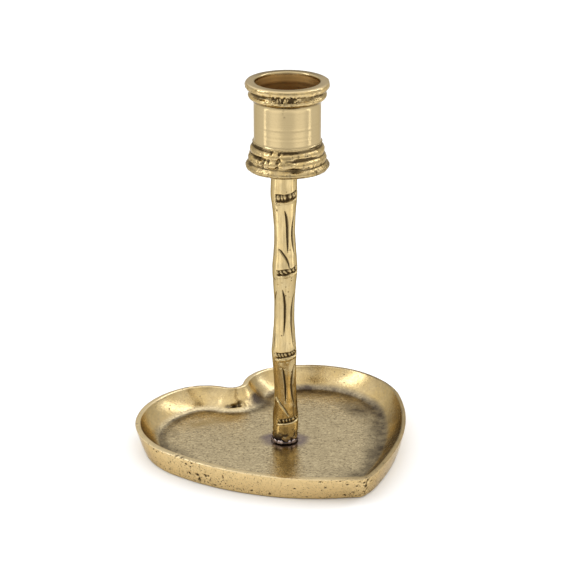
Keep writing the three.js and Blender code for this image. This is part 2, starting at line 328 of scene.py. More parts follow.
class Surface(Nodes):
    """A metal surface built one step at a time."""

    def __init__(self, name, edge_tint):
        self.material = bpy.data.materials.new(name)
        self.material.use_nodes = True
        super().__init__(self.material.node_tree)
        self.shader = self.tree.nodes["Principled BSDF"]
        self.shader.inputs["Metallic"].default_value = 1.0
        self.shader.inputs["Specular Tint"].default_value = (*edge_tint, 1)
        self.place = self.node("TexCoord", {}).outputs["Object"]
        self.normal = None

    def value(self, name):
        """A value kept on the mesh."""
        return self.node("Attribute", {}, attribute_name=name).outputs["Fac"]

    def stretched(self, x, y, z, turn=0.0):
        """The place on the object, turned about the vertical and with its directions scaled, for streaks."""
        inputs = {"Vector": self.place, "Rotation": (0, 0, turn), "Scale": (1 / x, 1 / y, 1 / z)}
        return self.node("Mapping", inputs, vector_type="TEXTURE").outputs["Vector"]

    def noise(self, size_mm, detail=3.0, roughness=0.55, vector=None):
        """Noise from 0 to 1 with blobs about size_mm across."""
        inputs = {"Vector": vector or self.place, "Scale": 1 / (size_mm * MM)}
        return self.node("TexNoise", {**inputs, "Detail": detail, "Roughness": roughness}).outputs["Fac"]

    def mottle(self, low, high, size_mm, **noise):
        """Noise with its values between low and high spread over 0 to 1."""
        return self.range(self.noise(size_mm, **noise), low, high)

    def mix(self, share, first, second):
        """Two colours mixed by a share."""
        made = self.node("Mix", {}, data_type="RGBA")
        sockets = {socket.identifier: socket for socket in made.inputs}
        for name, value in (("Factor_Float", share), ("A_Color", first), ("B_Color", second)):
            self.feed(sockets[name], value)
        return next(socket for socket in made.outputs if socket.identifier == "Result_Color")

    def tint(self, color, tint, share, amount):
        """A colour mixed towards a tint by an amount of a share."""
        return self.mix(self.math("MULTIPLY", share, amount), color, tint)

    def more(self, value, share, amount):
        """A value raised by an amount of a share, and held under 1."""
        return self.math("ADD", value, self.math("MULTIPLY", share, amount), clamp=True)

    def pits(self, spacing_mm, largest, amount):
        """Round pits, 1 inside and 0 outside: one to a cell of the given size, few of them large. largest is
        the biggest radius as a share of the cell, and amount is a value that shrinks them."""
        cells = self.node("TexVoronoi", {"Vector": self.place, "Scale": 1 / (spacing_mm * MM)})
        chance = self.node("SeparateColor", {"Color": cells.outputs["Color"]}).outputs["Red"]
        radius = self.math("MULTIPLY", self.math("POWER", chance, 2.5), largest)
        radius = self.math("MULTIPLY", radius, amount)
        return self.range(cells.outputs["Distance"], radius, self.math("MULTIPLY", radius, 0.5))

    def specks(self, size_mm, threshold, amount):
        """Ragged pits, 1 inside and 0 outside, where noise goes over a threshold that amount lowers."""
        noise = self.noise(size_mm, detail=2, roughness=0.6)
        level = self.math("ADD", noise, self.math("MULTIPLY", amount, 0.1))
        return self.range(level, threshold, threshold + 0.05)

    def bump(self, height, depth_mm):
        """Adds fine relief of the given depth on top of what is there."""
        inputs = {"Height": height, "Distance": depth_mm * MM}
        if self.normal is not None:
            inputs["Normal"] = self.normal
        self.normal = self.node("Bump", inputs).outputs["Normal"]

    def finish(self, color, roughness):
        """Connects what was built to the shader."""
        for name, socket in (("Base Color", color), ("Roughness", roughness), ("Normal", self.normal)):
            self.tree.links.new(socket, self.shader.inputs[name])
        return self.material


BRIGHT_BRASS = (0.53, 0.405, 0.205)
WALL_BRASS = (0.6, 0.46, 0.23)
OUTER_PAINTED_LIGHT_BRASS = (0.79, 0.59, 0.29)
RIM_BRASS = (0.78, 0.62, 0.36)
LIP_PAINTED_SHEEN = (0.66, 0.53, 0.33)
GOLDEN_BRASS = (0.6, 0.43, 0.175)
SATIN_BRASS = (1.0, 0.83, 0.51)
DULL_BRASS = (0.42, 0.335, 0.2)
AGED_BRASS = (0.24, 0.18, 0.1)
STEM_BRASS = (0.5, 0.39, 0.205), (0.38, 0.285, 0.138)
TURNED_BRASS = (0.475, 0.37, 0.2), (0.4, 0.307, 0.158)
BORE_BRASS = (0.55, 0.35, 0.13), (0.44, 0.275, 0.098)
SCREW_BRASS = (0.42, 0.31, 0.145), (0.3, 0.215, 0.105)
FILLER = (0.6, 0.52, 0.49), (0.36, 0.27, 0.25)
RECESS_AND_SHADE_BROWN = (0.042, 0.025, 0.01)
PATINA_AND_SHADE_GREY = (0.078, 0.06, 0.045)
HEAT_VIOLET = (0.055, 0.042, 0.05)
FLOOR_STAIN = (0.18, 0.14, 0.155)
SCRATCH_TURN = math.radians(-30)  # the way the dish's floor was rubbed
# How much of the light a metal edge keeps at a grazing angle.
BRIGHT_EDGE = (0.7, 0.65, 0.56)
DARK_EDGE = (0.56, 0.52, 0.46)
STEM_EDGE = (0.36, 0.32, 0.26)


def dish_material():
    """Cast brass: polished walls, the outer one in a lighter brass as painted light, a satin floor with fine
    grain and a painted reflection of the wall, dark pits, patina with painted shade, a rim painted duller
    towards the right, and a stain by the stem.
    """
    s = Surface("dish_cast_brass", BRIGHT_EDGE)
    blotches = s.mottle(0.35, 0.68, 8, detail=4)
    fine = s.mottle(0.3, 0.75, 1.3, detail=5, roughness=0.65)
    grain = s.mottle(0.4, 0.6, 0.8, roughness=0.75)
    coarse = s.mottle(0.35, 0.65, 2.2, roughness=0.6)
    scratches = s.mottle(0.42, 0.6, 0.8, detail=4, vector=s.stretched(0.3, 1.4, 1.0, SCRATCH_TURN))
    uneven = s.range(s.noise(3.6, detail=5, roughness=0.66), 0.3, 0.68, 0.74, 1.08)
    floor_share, pitted = s.value("floor_share"), s.value("pitted")
    patina_and_shade = s.math("MULTIPLY", s.value("patina_and_shade"), uneven, clamp=True)
    stain = s.math("MULTIPLY", s.value("stain"), uneven, clamp=True)
    pits = s.math("MAXIMUM", s.specks(0.9, 0.735, pitted), s.specks(0.45, 0.725, pitted))
    dark = s.math("MAXIMUM", pits, s.value("pit"))

    polished = s.tint(s.mix(blotches, WALL_BRASS, GOLDEN_BRASS), AGED_BRASS, fine, 0.36)
    # painted light: the outer wall takes a lighter brass than the inner wall of the same casting
    polished = s.mix(s.value("outer"), polished, s.tint(OUTER_PAINTED_LIGHT_BRASS, AGED_BRASS, fine, 0.3))
    satin = SATIN_BRASS
    for share, amount in ((grain, 0.6), (coarse, 0.16), (scratches, 0.45)):
        satin = s.tint(satin, DULL_BRASS, share, amount)
    satin = s.tint(satin, AGED_BRASS, s.specks(0.9, 0.7, floor_share), 0.75)
    # the rim's lighter brass, which the rim value fades towards the right as painted light
    color = s.mix(s.value("rim"), s.mix(floor_share, polished, satin), RIM_BRASS)
    for share, tint in ((patina_and_shade, PATINA_AND_SHADE_GREY), (dark, RECESS_AND_SHADE_BROWN), (stain, FLOOR_STAIN)):
        color = s.mix(share, color, tint)
    roughness = s.range(s.math("MULTIPLY", fine, s.range(floor_share, 0, 1, 1, 0.3)), 0, 1, 0.08, 0.22)
    s.bump(s.noise(2.6, detail=2), 0.02)
    s.bump(s.math("MULTIPLY", grain, s.range(floor_share, 0, 1, 0.6, 1)), 0.02)
    s.bump(s.math("SUBTRACT", 1.0, pits), 0.12)
    return s.finish(color, s.more(s.more(roughness, patina_and_shade, 0.14), dark, 0.4))


def stem_material():
    """Cast brass brushed bright lengthwise, nearly black in its grooves."""
    s = Surface("stem_cast_brass", STEM_EDGE)
    streaks = s.noise(1.0, detail=4, vector=s.stretched(1.6, 1.6, 0.12))
    patina_and_shade = s.value("patina_and_shade")
    color = s.mix(s.range(streaks, 0.35, 0.7), *STEM_BRASS)
    color = s.tint(color, GOLDEN_BRASS, s.mottle(0.35, 0.7, 3.5, detail=4), 0.35)
    color = s.mix(patina_and_shade, s.mix(s.pits(1.5, 0.26, 1.0), color, RECESS_AND_SHADE_BROWN), RECESS_AND_SHADE_BROWN)
    color = s.mix(s.value("stain"), color, HEAT_VIOLET)
    s.bump(streaks, 0.02)
    s.bump(s.noise(0.6), 0.01)
    return s.finish(color, s.more(s.range(streaks, 0.3, 0.7, 0.13, 0.24), patina_and_shade, 0.35))


def cup_material():
    """A turned barrel and mouth with fine lathe rings, cast bands, and an aged bore."""
    s = Surface("cup_turned_brass", BRIGHT_EDGE)
    rings = s.noise(1.0, detail=5, roughness=0.75, vector=s.stretched(0.01, 0.01, 5.0))
    ring_share = s.range(rings, 0.35, 0.65)
    turned, bore, patina_and_shade = s.value("turned"), s.value("bore"), s.value("patina_and_shade")
    cast_share = s.math("SUBTRACT", 1.0, turned)
    cast = s.mix(s.mottle(0.35, 0.68, 2.2, detail=4), BRIGHT_BRASS, GOLDEN_BRASS)
    cast = s.tint(cast, AGED_BRASS, s.mottle(0.3, 0.75, 1.0, detail=5, roughness=0.7), 0.62)
    cast = s.mix(s.pits(1.3, 0.3, cast_share), cast, RECESS_AND_SHADE_BROWN)
    color = s.mix(turned, cast, s.mix(ring_share, *TURNED_BRASS))
    color = s.mix(bore, color, s.mix(ring_share, *BORE_BRASS))
    # painted light: the lip's paler brass, strongest at its sides
    color = s.mix(s.value("lip"), color, LIP_PAINTED_SHEEN)
    color = s.mix(patina_and_shade, color, RECESS_AND_SHADE_BROWN)
    roughness = s.more(s.more(s.range(s.noise(1.5), 0.3, 0.7, 0.09, 0.16), patina_and_shade, 0.3), bore, 0.3)
    s.bump(s.math("MULTIPLY", rings, turned), 0.012)
    s.bump(s.math("MULTIPLY", s.noise(0.9, detail=4), cast_share), 0.07)
    return s.finish(color, roughness)


def plain_material(name, colors, recess, grain_mm, depth_mm, smoothest, roughest):
    """Metal with a fine grain between two colours, and a third in its recesses."""
    s = Surface(name, DARK_EDGE)
    fine = s.noise(grain_mm, detail=4)
    color = s.mix(s.value("patina_and_shade"), s.mix(s.range(fine, 0.35, 0.7), *colors), recess)
    s.bump(fine, depth_mm)
    return s.finish(color, s.range(fine, 0.3, 0.7, smoothest, roughest))


# --- heart-shaped dish
def heart_arcs(inset, side_radius):
    """The right half's arcs, from the tip to the notch: centre x and y, radius, first and last angle."""
    lobe, side, inner = LOBE_RADIUS - inset, side_radius - inset, INNER_LOBE_RADIUS - inset
    tip = max(TIP_RADIUS - inset, SMALLEST_TIP_RADIUS)
    notch = NOTCH_RADIUS + inset
    side_x = LOBE_CENTRE[0] + (LOBE_RADIUS - side_radius) * math.cos(FLANK_START)
    side_y = LOBE_CENTRE[1] - (LOBE_RADIUS - side_radius) * math.sin(FLANK_START)
    tip_y = side_y - math.sqrt((side - tip) ** 2 - side_x**2)
    inner_x = LOBE_CENTRE[0] + (LOBE_RADIUS - INNER_LOBE_RADIUS) * math.cos(INNER_LOBE_START)
    inner_y = LOBE_CENTRE[1] + (LOBE_RADIUS - INNER_LOBE_RADIUS) * math.sin(INNER_LOBE_START)
    notch_y = inner_y + math.sqrt((inner + notch) ** 2 - inner_x**2)
    tip_end = math.atan2(tip_y - side_y, -side_x)
    notch_end = math.atan2(inner_y - notch_y, inner_x)
    return np.array([
        (0, tip_y, tip, -math.pi / 2, tip_end),
        (side_x, side_y, side, tip_end, -FLANK_START),
        (*LOBE_CENTRE, lobe, -FLANK_START, INNER_LOBE_START),
        (inner_x, inner_y, inner, INNER_LOBE_START, math.pi + notch_end),
        (0, notch_y, notch, notch_end, -math.pi / 2),
    ])


def heart_outline(inset, places, side_radius=SIDE_RADIUS):
    """Points of the outline moved inwards by inset. A place runs from 0 at the tip to 5 at the notch up the
    right side, and on to 10 at the tip down the left side, one unit for each arc."""
    right = places < 5
    along = np.where(right, places, 10 - places)
    number = np.clip(np.floor(along).astype(int), 0, 4)
    x, y, radius, start, end = heart_arcs(inset, side_radius)[number].T
    angle = start + (end - start) * (along - number)
    x = np.where(right, 1, -1) * (x + radius * np.cos(angle))
    return np.column_stack([x, y + radius * np.sin(angle)])


def even_places(count, left_weight, notch_weight):
    """Places spread evenly along the rim, but closer together on the left flank and just left of the notch."""
    trial = np.linspace(0, 10, 8001)
    steps = np.linalg.norm(np.diff(heart_outline(0, trial), axis=0), axis=1)
    middle = (trial[:-1] + trial[1:]) / 2
    for low, high, weight in ((7.35, 10, left_weight), (4.7, 5.9, notch_weight)):
        steps = steps * np.where((middle > low) & (middle < high), weight, 1)
    length = np.concatenate([[0], np.cumsum(steps)])
    return np.interp(np.linspace(0, length[-1], count, endpoint=False), length, trial)


def rim_distances(places):
    """Distances along the rim from the tip, positive up the left flank."""
    rim = heart_outline(0, places)
    steps = np.linalg.norm(np.roll(rim, -1, axis=0) - rim, axis=1)
    total = steps.sum()
    along = total - np.concatenate([[0], np.cumsum(steps)[:-1]])
    return np.where(along > total / 2, along - total, along)


def dish_section():
    """The dish's wall and rim as rows of inset, height, flank radius and share of the hollow's shift."""
    foot, land = FOOT_INSET, FOOT_INSET + FOOT_LAND
    edge = RIM_HEIGHT - RIM_ROUND
    underside = resample([(land + 1.2, UNDERSIDE_RECESS), (land + 0.2, 0.05), (land, 0)], 0.5)
    flat = resample([(land - 0.6, 0), (foot + FOOT_ROUND, 0)], 1.4)
    corner = rounding((foot + FOOT_ROUND, FOOT_ROUND), FOOT_ROUND, -90, -170, 6)[1:]
    lean = np.linspace(0, 1, 32)[1:-1]
    inset, height = corner[-1]
    belly = 0.18 * np.sin(math.pi * lean)
    wall = np.column_stack([inset * (1 - lean) - belly, height + (edge - height) * lean])
    outer_round = rounding((RIM_ROUND, edge), RIM_ROUND, 180, 90, 4)
    top = [(RIM_WIDTH * 0.5, RIM_HEIGHT)]
    inner_round = rounding((RIM_WIDTH - 0.5, RIM_HEIGHT - 0.5), 0.5, 90, 90 - math.degrees(WALL_TOP_SLOPE), 4)
    # the wall goes down in a hollow curve: its slope falls slowly, then quickly to level
    slope = np.interp(np.linspace(0, 1, 38), (0, TURN_SHARE, 1), (WALL_TOP_SLOPE, WALL_LOW_SLOPE, 0))
    middle = (slope[1:] + slope[:-1]) / 2
    run, drop = np.cumsum(np.cos(middle)), np.cumsum(np.sin(middle))
    step = (inner_round[-1, 1] - FLOOR_HEIGHT) / drop[-1]
    hollow = np.column_stack([inner_round[-1, 0] + step * run, inner_round[-1, 1] - step * drop])
    rows = np.vstack([underside, flat, corner, wall, outer_round, top, inner_round, hollow])
    share = np.clip(rows[:, 1] / RIM_HEIGHT, 0, 1)
    inside = np.zeros(len(rows))
    inside[-len(hollow) - len(inner_round):] = 1
    flank = np.where(inside > 0, SIDE_RADIUS, FOOT_SIDE_RADIUS + (SIDE_RADIUS - FOOT_SIDE_RADIUS) * share)
    return np.column_stack([rows, flank, inside])


# Pits along the outer wall: distance from the tip up the left flank, height, half length, half height, depth.
LARGE_PITS = (
    (65.4, 3.9, 0.7, 0.6, 0.45), (62.0, 4.1, 0.95, 0.7, 0.6), (61.4, 2.0, 0.55, 1.0, 0.55),
    (58.3, 4.9, 0.8, 0.6, 0.55), (57.0, 5.1, 0.45, 0.4, 0.35), (50.9, 6.0, 0.36, 0.95, 0.55),
    (54.9, 1.1, 0.8, 0.4, 0.45), (66.0, 7.9, 0.55, 0.5, 0.3), (63.4, 9.0, 0.6, 0.4, 0.3),
    (64.2, 7.2, 0.4, 0.4, 0.25), (81.9, 9.0, 0.5, 0.45, 0.25), (80.4, 8.4, 0.5, 0.4, 0.25),
    (15.5, 8.8, 0.45, 0.4, 0.3), (13.6, 6.0, 0.5, 0.4, 0.3), (24.0, 5.0, 0.6, 0.45, 0.4),
    (33.0, 1.3, 0.7, 0.4, 0.35), (40.0, 2.0, 0.5, 0.4, 0.3), (8.9, 9.2, 0.4, 0.35, 0.25),
    (6.6, 7.3, 0.55, 0.4, 0.3), (4.6, 3.2, 0.6, 0.4, 0.3), (3.4, 6.4, 0.5, 0.4, 0.3),
    (0.6, 7.8, 0.65, 0.6, 0.5), (-1.3, 8.8, 0.8, 0.8, 0.6), (-1.0, 5.7, 0.55, 0.9, 0.55),
    (-2.4, 4.2, 0.5, 0.7, 0.45), (-2.2, 1.6, 0.7, 0.6, 0.5), (-0.2, 3.0, 0.5, 0.5, 0.4),
    (-0.6, 6.9, 0.32, 1.5, 0.6), (-1.9, 2.8, 0.36, 1.4, 0.55), (1.7, 1.2, 0.9, 0.4, 0.45),
    (-3.5, 7.4, 0.4, 0.7, 0.4), (2.5, 8.5, 0.6, 0.35, 0.35), (68.0, 9.9, 1.5, 0.34, 0.45),
    (70.4, 10.0, 0.9, 0.3, 0.4),
)
SMALL_PITS, PIT_SEED = 330, 11

# Smudges of patina, the first two painted shadow on the wall and floor right of the notch: x and y about the
# stem, reach along x and y, strength, how high up the wall it goes.
PATINA_AND_SHADOW_SMUDGES = (
    (8, 29.5, 6, 5, 1.0, 2.2), (8, 33.5, 7.5, 6.5, 1.2, 3.4), (13, 40.5, 4.5, 3.5, 0.5, 8),
    (24, 32.5, 14, 3.5, 0.65, 1.2), (33, 38.5, 9, 3, 0.3, 8), (37.5, 9, 7, 16, 0.95, 1.4),
    (43, -13, 7, 12, 0.7, 8), (30, -27, 8.5, 11, 0.95, 8), (10, -38, 12, 5.5, 0.85, 3),
    (3, -32, 16, 4.5, 0.45, 1), (-14, 34, 12, 2, 0.7, 0.8), (-36, 27, 8, 7, 0.65, 1.6),
    (-41, 8, 6.5, 17, 0.75, 1.2), (-32, -10, 9, 7, 0.5, 1), (-8, 20, 5, 2, 0.25, 1),
    (-27, 33, 15, 11, 0.36, 8),
)
# Painted reflection of the wall on the floor, where the floor takes the wall's golden brass: x, y, reach along
# x and y.
WALL_REFLECTION_PATCHES = ((-19.5, 27.3, 8.0, 2.6), (-10.0, 25.6, 5.0, 2.2))


def wall_pits(rng):
    """All pits of the outer wall, the small ones scattered over it and thickest low down and near the tip."""
    pits = [(*pit, 0.0) for pit in LARGE_PITS]
    for _ in range(SMALL_PITS):
        along = rng.uniform(-150, 150)
        height = 0.6 + 9.2 * rng.uniform() ** 1.5
        size = 0.09 + 0.2 * rng.uniform() ** 4
        pits.append((along, height, size * rng.uniform(0.8, 1.6), size, size * 0.8, rng.uniform(-1, 1)))
    return pits


def dish_rings(places, along, section):
    """The wall's rings. The casting is skewed: its tip leans to the right, and its right side is steeper."""
    steep = smoothstep(4, -14, along) * smoothstep(-150, -110, along)
    rings = []
    for inset, height, side_radius, inside in section:
        outline = heart_outline(inset, places, side_radius) + CORE_SHIFT * inside
        low = 1 - np.clip(height / RIM_HEIGHT, 0, 1) if inside < 0.5 else 0
        outline[:, 0] += bell(along, 15) * (TIP_LEAN + TIP_FOOT_LEAN * low)
        outward = outline / np.linalg.norm(outline, axis=1, keepdims=True)
        outline += outward * (STEEPER * low * steep)[:, None]
        rings.append(np.column_stack([outline, np.full(len(places), height)]))
    return np.array(rings)


def make_dish():
    """The dish with its wobble, cast skin, pits, cast cavity and patina, and painted shade, light and
    reflection.
    """
    places = even_places(DISH_COLUMNS, 1.9, 2.4)
    along = rim_distances(places)
    section = dish_section()
    wall = dish_rings(places, along, section)
    # both skins run on towards the middle, to a last small ring inside the screw and the stem
    floor_shares = np.maximum(1 - np.linspace(0, 1, FLOOR_RINGS + 1)[1:] ** 1.15, HUB_SHARE)
    under = np.array([wall[0] * (share, share, 1) for share in np.linspace(0.06, 1, UNDER_RINGS + 1)[:-1]])
    floor = np.array([wall[-1] * (share, share, 1) for share in floor_shares])
    grid = np.vstack([under, wall, floor])
    first_wall, first_floor = len(under), len(under) + len(wall)
    skin = Skin(grid)
    height, noise = skin.height, skin.noise
    x, y = grid[..., 0], grid[..., 1]

    outer_rows = section[:, 3] < 0.5
    outside, inside = np.zeros(height.shape), np.zeros(height.shape)
    outside[first_wall:first_floor] = outer_rows[:, None]
    outside *= smoothstep(0.2, 1.2, height)
    inside[first_wall + int(outer_rows.sum()):] = 1

    push = noise(24, 1) * 0.14 - 0.13 + noise(7, 2) * 0.05
    push += outside * (noise(1.7, 3) * 0.03 + noise(0.8, 4) * 0.02) + inside * noise(2.6, 5) * 0.016
    skin.push = push * smoothstep(0.0, 0.8, height)

    pit = np.zeros(height.shape)
    ragged = 1.3 - 0.9 * noise(0.5, 6)
    for centre, level, half_length, half_height, depth, slant in wall_pits(np.random.default_rng(PIT_SEED)):
        run, rise = along - centre, height - level
        a, b = (run + slant * rise) / half_length, (rise - slant * run) / half_height
        near = np.exp(-((a * a + b * b) ** 1.2) * ragged) * outside
        pit = np.maximum(pit, smoothstep(0.2, 0.7, near) * min(1, depth / 0.22))
        skin.push -= depth * near

    # cast cavity in the wall just left of the notch, with a raised lip over it and a sharp crest beside it
    def lump(centre, size, power=1.0):
        """A soft-edged lump on the inside: 1 in the middle and 0 outside."""
        return np.exp(-((((grid - centre) / size) ** 2).sum(axis=-1)) ** power) * inside

    hole = lump((-1.7, 30.7, 5.5), (1.5, 1.7, 1.05), 2)
    hole = np.maximum(hole, lump((-3.9, 31.3, 4.9), (1.7, 1.5, 0.55), 2))
    tail = lump((-6.6, 32.4, 4.5), (2.4, 1.6, 0.45), 1.4)
    lip = lump((-1.6, 31.6, 6.7), (2.2, 1.6, 0.5))
    crest = lump((1.2, 29.0, 4.6), (0.7, 2.6, 1.5))
    ledge = lump((-0.6, 28.9, 3.6), (3.0, 1.0, 0.35))
    skin.push += -2.0 * hole - 0.5 * tail + 0.3 * lip + 0.4 * crest + 0.2 * ledge
    moved = grid + grid_normals(grid) * skin.push[..., None]
    moved[..., 2] = np.maximum(moved[..., 2], np.minimum(height, 0.0))

    def floor_patch(middle_x, middle_y, reach_x, reach_y):
        """A soft patch on the floor: 1 in the middle and 0 outside."""
        return spot((x - middle_x) / reach_x, (y - middle_y) / reach_y)

    # patina: a dark ring where the floor meets the wall, wide and heavy on the right, and smudges, two of them
    # painted shadow right of the notch, then painted shade over the whole inside
    reach = np.linalg.norm(moved[..., :2] - moved[first_floor - 1, :, :2], axis=-1)
    rightwards = smoothstep(0, 30, x) * smoothstep(-46, -30, y)
    streaky = np.clip(0.6 + 0.45 * noise(9, 7) + 0.3 * noise(2.2, 8), 0, 1)
    ring = np.exp(-((np.maximum(reach - 0.6, 0) / (2.3 + 4.2 * rightwards)) ** 1.5)) * inside
    low_wall = smoothstep(FLOOR_HEIGHT + 0.5 + 1.9 * rightwards, FLOOR_HEIGHT + 0.1, height) * inside
    ring[:first_floor] = low_wall[:first_floor]
    skin.darken(ring * (0.85 + 0.15 * rightwards) * (0.7 + 0.4 * streaky))
    for *patch, strength, climb in PATINA_AND_SHADOW_SMUDGES:
        near = floor_patch(*patch)
        low = smoothstep(FLOOR_HEIGHT + climb + 1, FLOOR_HEIGHT + climb - 0.8, height)
        skin.darken(near * strength * inside * low * (0.72 + 0.35 * streaky))
    # painted shade: the whole inside of the dish darker, most on the floor and at the foot of the wall
    skin.darken(inside * (0.16 + 0.14 * (1 - smoothstep(0.5, 2, height - FLOOR_HEIGHT))))
    skin.darken(0.95 * np.clip(hole * 1.4 + tail * 1.2, 0, 1))

    distance = np.hypot(grid[..., :2] @ VIEW_RIGHT / 1.3, grid[..., :2] @ VIEW_NEAR) + 0.7 * noise(3, 9)
    floor_share = smoothstep(FLOOR_HEIGHT + 1.6, FLOOR_HEIGHT + 0.1, height) * inside
    # painted reflection of the wall: the floor turns to the wall's golden brass in these patches
    for patch in WALL_REFLECTION_PATCHES:
        floor_share *= 1 - 0.75 * floor_patch(*patch)
    left_flank_and_tip = bell(along - 60, 22) + bell(along, 12)
    pitted = outside * (0.7 + 0.5 * smoothstep(5, 1, height) + 0.35 * left_flank_and_tip)
    rim = np.zeros((len(grid), 1))
    rim[first_wall:first_floor, 0] = (section[:, 1] > RIM_HEIGHT - 0.32) * (section[:, 0] < RIM_WIDTH)
    # painted light on the rim: 1 on its left, falling towards the camera's right, where the rim loses its
    # lighter brass and gets painted shade
    rim_painted_light = 1 - 0.8 * smoothstep(10, 34, grid[..., :2] @ VIEW_RIGHT)
    skin.darken(0.5 * rim * (1.2 - rim_painted_light))
    values = {
        "patina_and_shade": skin.patina_and_shade,
        "pit": np.maximum(pit, np.clip(hole * 1.6 - 0.2, 0, 1)),
        "pitted": pitted + 0.35 * inside * (1 - floor_share),
        "stain": 0.9 * smoothstep(8.0, 5.4, distance) * inside * (height < 6),
        "floor_share": floor_share,
        "rim": rim * rim_painted_light,
        "outer": outside,
    }
    values = {name: np.clip(value, 0, 1.3) for name, value in values.items()}
    return store_piece("heart_dish_cast", moved, dish_material(), values)


# --- bamboo stem
def stem_radius(height):
    """The bare form: fullest at the nodes and pinched to a waist between two of them."""
    heights, radii = np.array(NODE_HEIGHTS), np.array(NODE_RADII)
    lower = np.clip(np.searchsorted(heights, height, side="right") - 1, 0, len(heights) - 2)
    share = np.clip((height - heights[lower]) / (heights[lower + 1] - heights[lower]), 0, 1)
    ends = radii[lower] + (radii[lower + 1] - radii[lower]) * share
    radius = ends - (ends - np.array(WAIST_RADII)[lower]) * np.sin(math.pi * share) ** 1.5
    foot = STEM_FOOT_RADIUS + (radii[0] - STEM_FOOT_RADIUS) * height / heights[0]
    return np.where(height < heights[0], foot - 0.35 * smoothstep(5.6, 4.2, height), radius)


def stroke(across, height, path, width, steps=24):
    """How deep each point lies in a tapering stroke along a path of (degrees, height) points: 0 outside, 1 in
    the middle. across is each point's distance round the stem in millimetres."""
    degrees, levels = np.asarray(path, float).T
    bends = np.linspace(0, len(path) - 1, steps + 1)
    xs = np.radians(np.interp(bends, np.arange(len(path)), degrees)) * STEM_MEAN_RADIUS
    zs = np.interp(bends, np.arange(len(path)), levels)
    depth = np.zeros(height.shape)
    for i in range(steps):
        run, rise = xs[i + 1] - xs[i], zs[i + 1] - zs[i]
        past_x, past_z = across - xs[i], height - zs[i]
        share = np.clip((past_x * run + past_z * rise) / (run**2 + rise**2), 0, 1)
        distance = np.hypot(past_x - share * run, past_z - share * rise)
        taper = math.sin(math.pi * (i + 0.5) / steps) ** 0.6
        depth = np.maximum(depth, np.clip(1.15 - distance / (0.5 * width * max(taper, 0.15)), 0, 1))
    return smoothstep(0, 1, depth)


# Long leaf-shaped grooves between the nodes: (degrees from the front, height) points, and the width.
LEAF_GROOVES = (
    (((3, 93.6), (11, 91.0), (16, 87.5), (16, 82.5), (14, 78.2)), 1.5),
    (((62, 92.5), (50, 88.0), (47, 84.0), (50, 80.5), (57, 77.0)), 1.4),
    (((-11, 63.6), (-3, 61.0), (3, 57.5), (3, 52.0), (-2, 46.5)), 1.35),
    (((74, 63.2), (55, 60.0), (46, 55.5), (45, 50.0), (50, 41.8)), 1.3),
    (((-58, 47.5), (-61, 43.5), (-60, 39.9)), 0.8),
    (((-9, 33.6), (-3, 30.0), (1, 25.5), (-1, 19.6)), 1.1),
    (((56, 33.9), (44, 30.5), (37, 26.5), (41, 22.0), (53, 17.6)), 1.25),
)
BACK_COPIES = ((126, 0.7), (238, -0.6))  # the same grooves again: how far round and how far up
# A sprout is a thin curved stroke that ends on a node, and the leaf is a slanting one with raised edges.
SPROUT = ((-37, 79.1), (-22, 78.6), (-6, 77.2), (8, 75.6), (18, 73.9), (23, 71.8))
LEAF = ((-58, 21.7), (-38, 20.4), (-18, 18.8), (0, 16.9), (16, 14.4))
LEAF_EDGES = (((-60, 20.9), (-38, 19.4), (-16, 17.6), (12, 14.3)), ((-42, 19.9), (-24, 19.2), (-6, 17.9)))
# Each node's stamps: how many beads one holds, half its height, and half a bead's width.
BANDS = ((7, 1.0, 0.45), (7, 1.15, 0.5), (5, 1.15, 0.62), (7, 1.5, 0.45))
BAND_TURNS = (18, 196)
STEM_PITS, STEM_PIT_SEED = 90, 5
# The casting isn't quite straight: heights, and how far it is off to the right there.
BENDS = (0, 22, 37, 52, 76, 97, 110), (0.3, 0.28, -0.25, -0.18, 0.1, -0.28, -0.28)


def stem_grooves(skin):
    """Presses in the grooves, the sprouts and the leaves."""

    def groove(path, width, depth, turn=0.0, darkness=1.0):
        across = np.radians(skin.off(turn)) * STEM_MEAN_RADIUS
        near = stroke(across, skin.height, path, width)
        skin.push -= depth * near
        skin.darken(darkness * near**0.7)

    for path, width in LEAF_GROOVES:
        groove(path, width, 0.5)
        for turn, lift in BACK_COPIES:
            groove([(a, z + lift) for a, z in path], width, 0.5, turn)
    for turn in (0, 182):
        groove(SPROUT, 0.95, 0.42, turn)
        groove(LEAF, 0.62, 0.4, turn, darkness=0.85)
        for edge in LEAF_EDGES:
            groove(edge, 0.75, -0.22, turn, darkness=0)


def stem_bands(skin):
    """Swells the nodes, and stamps beads in a recess, with a thin raised line below it, on two sides."""
    for number, (level, (beads, half_height, bead_size)) in enumerate(zip(NODE_HEIGHTS, BANDS)):
        skin.push += bell(skin.height - level, 3.2) * 0.14
        for turn in BAND_TURNS:
            off = skin.off(turn)
            rise = skin.height - level - 0.011 * off
            wavy = rise + 0.25 * skin.noise(2.0, 30 + number)
            window = smoothstep(61, 55, np.abs(off + 5 * skin.noise(1.5, 35 + number)))
            recess = window * smoothstep(half_height + 0.15, half_height - 0.2, np.abs(wavy))
            phase = (off / 120 * beads + 0.55 * skin.noise(2.1, 45 + number)) % 1 - 0.5
            pitch = math.radians(120) * 4.4 / beads
            size = bead_size * (1 + 0.45 * skin.noise(1.6, 40 + number))
            bead = spot(phase * pitch / size, (rise - 0.15 + 0.9 * phase) / (0.62 * half_height), 1.6)
            line = bell(rise + half_height + 0.55, 0.38) * window
            skin.push += (0.55 * bead - 0.5) * recess + (0.15 + 0.13 * skin.noise(1.2, 55 + number)) * line
            skin.darken(recess * np.clip(1.1 - 1.35 * bead, 0, 1))


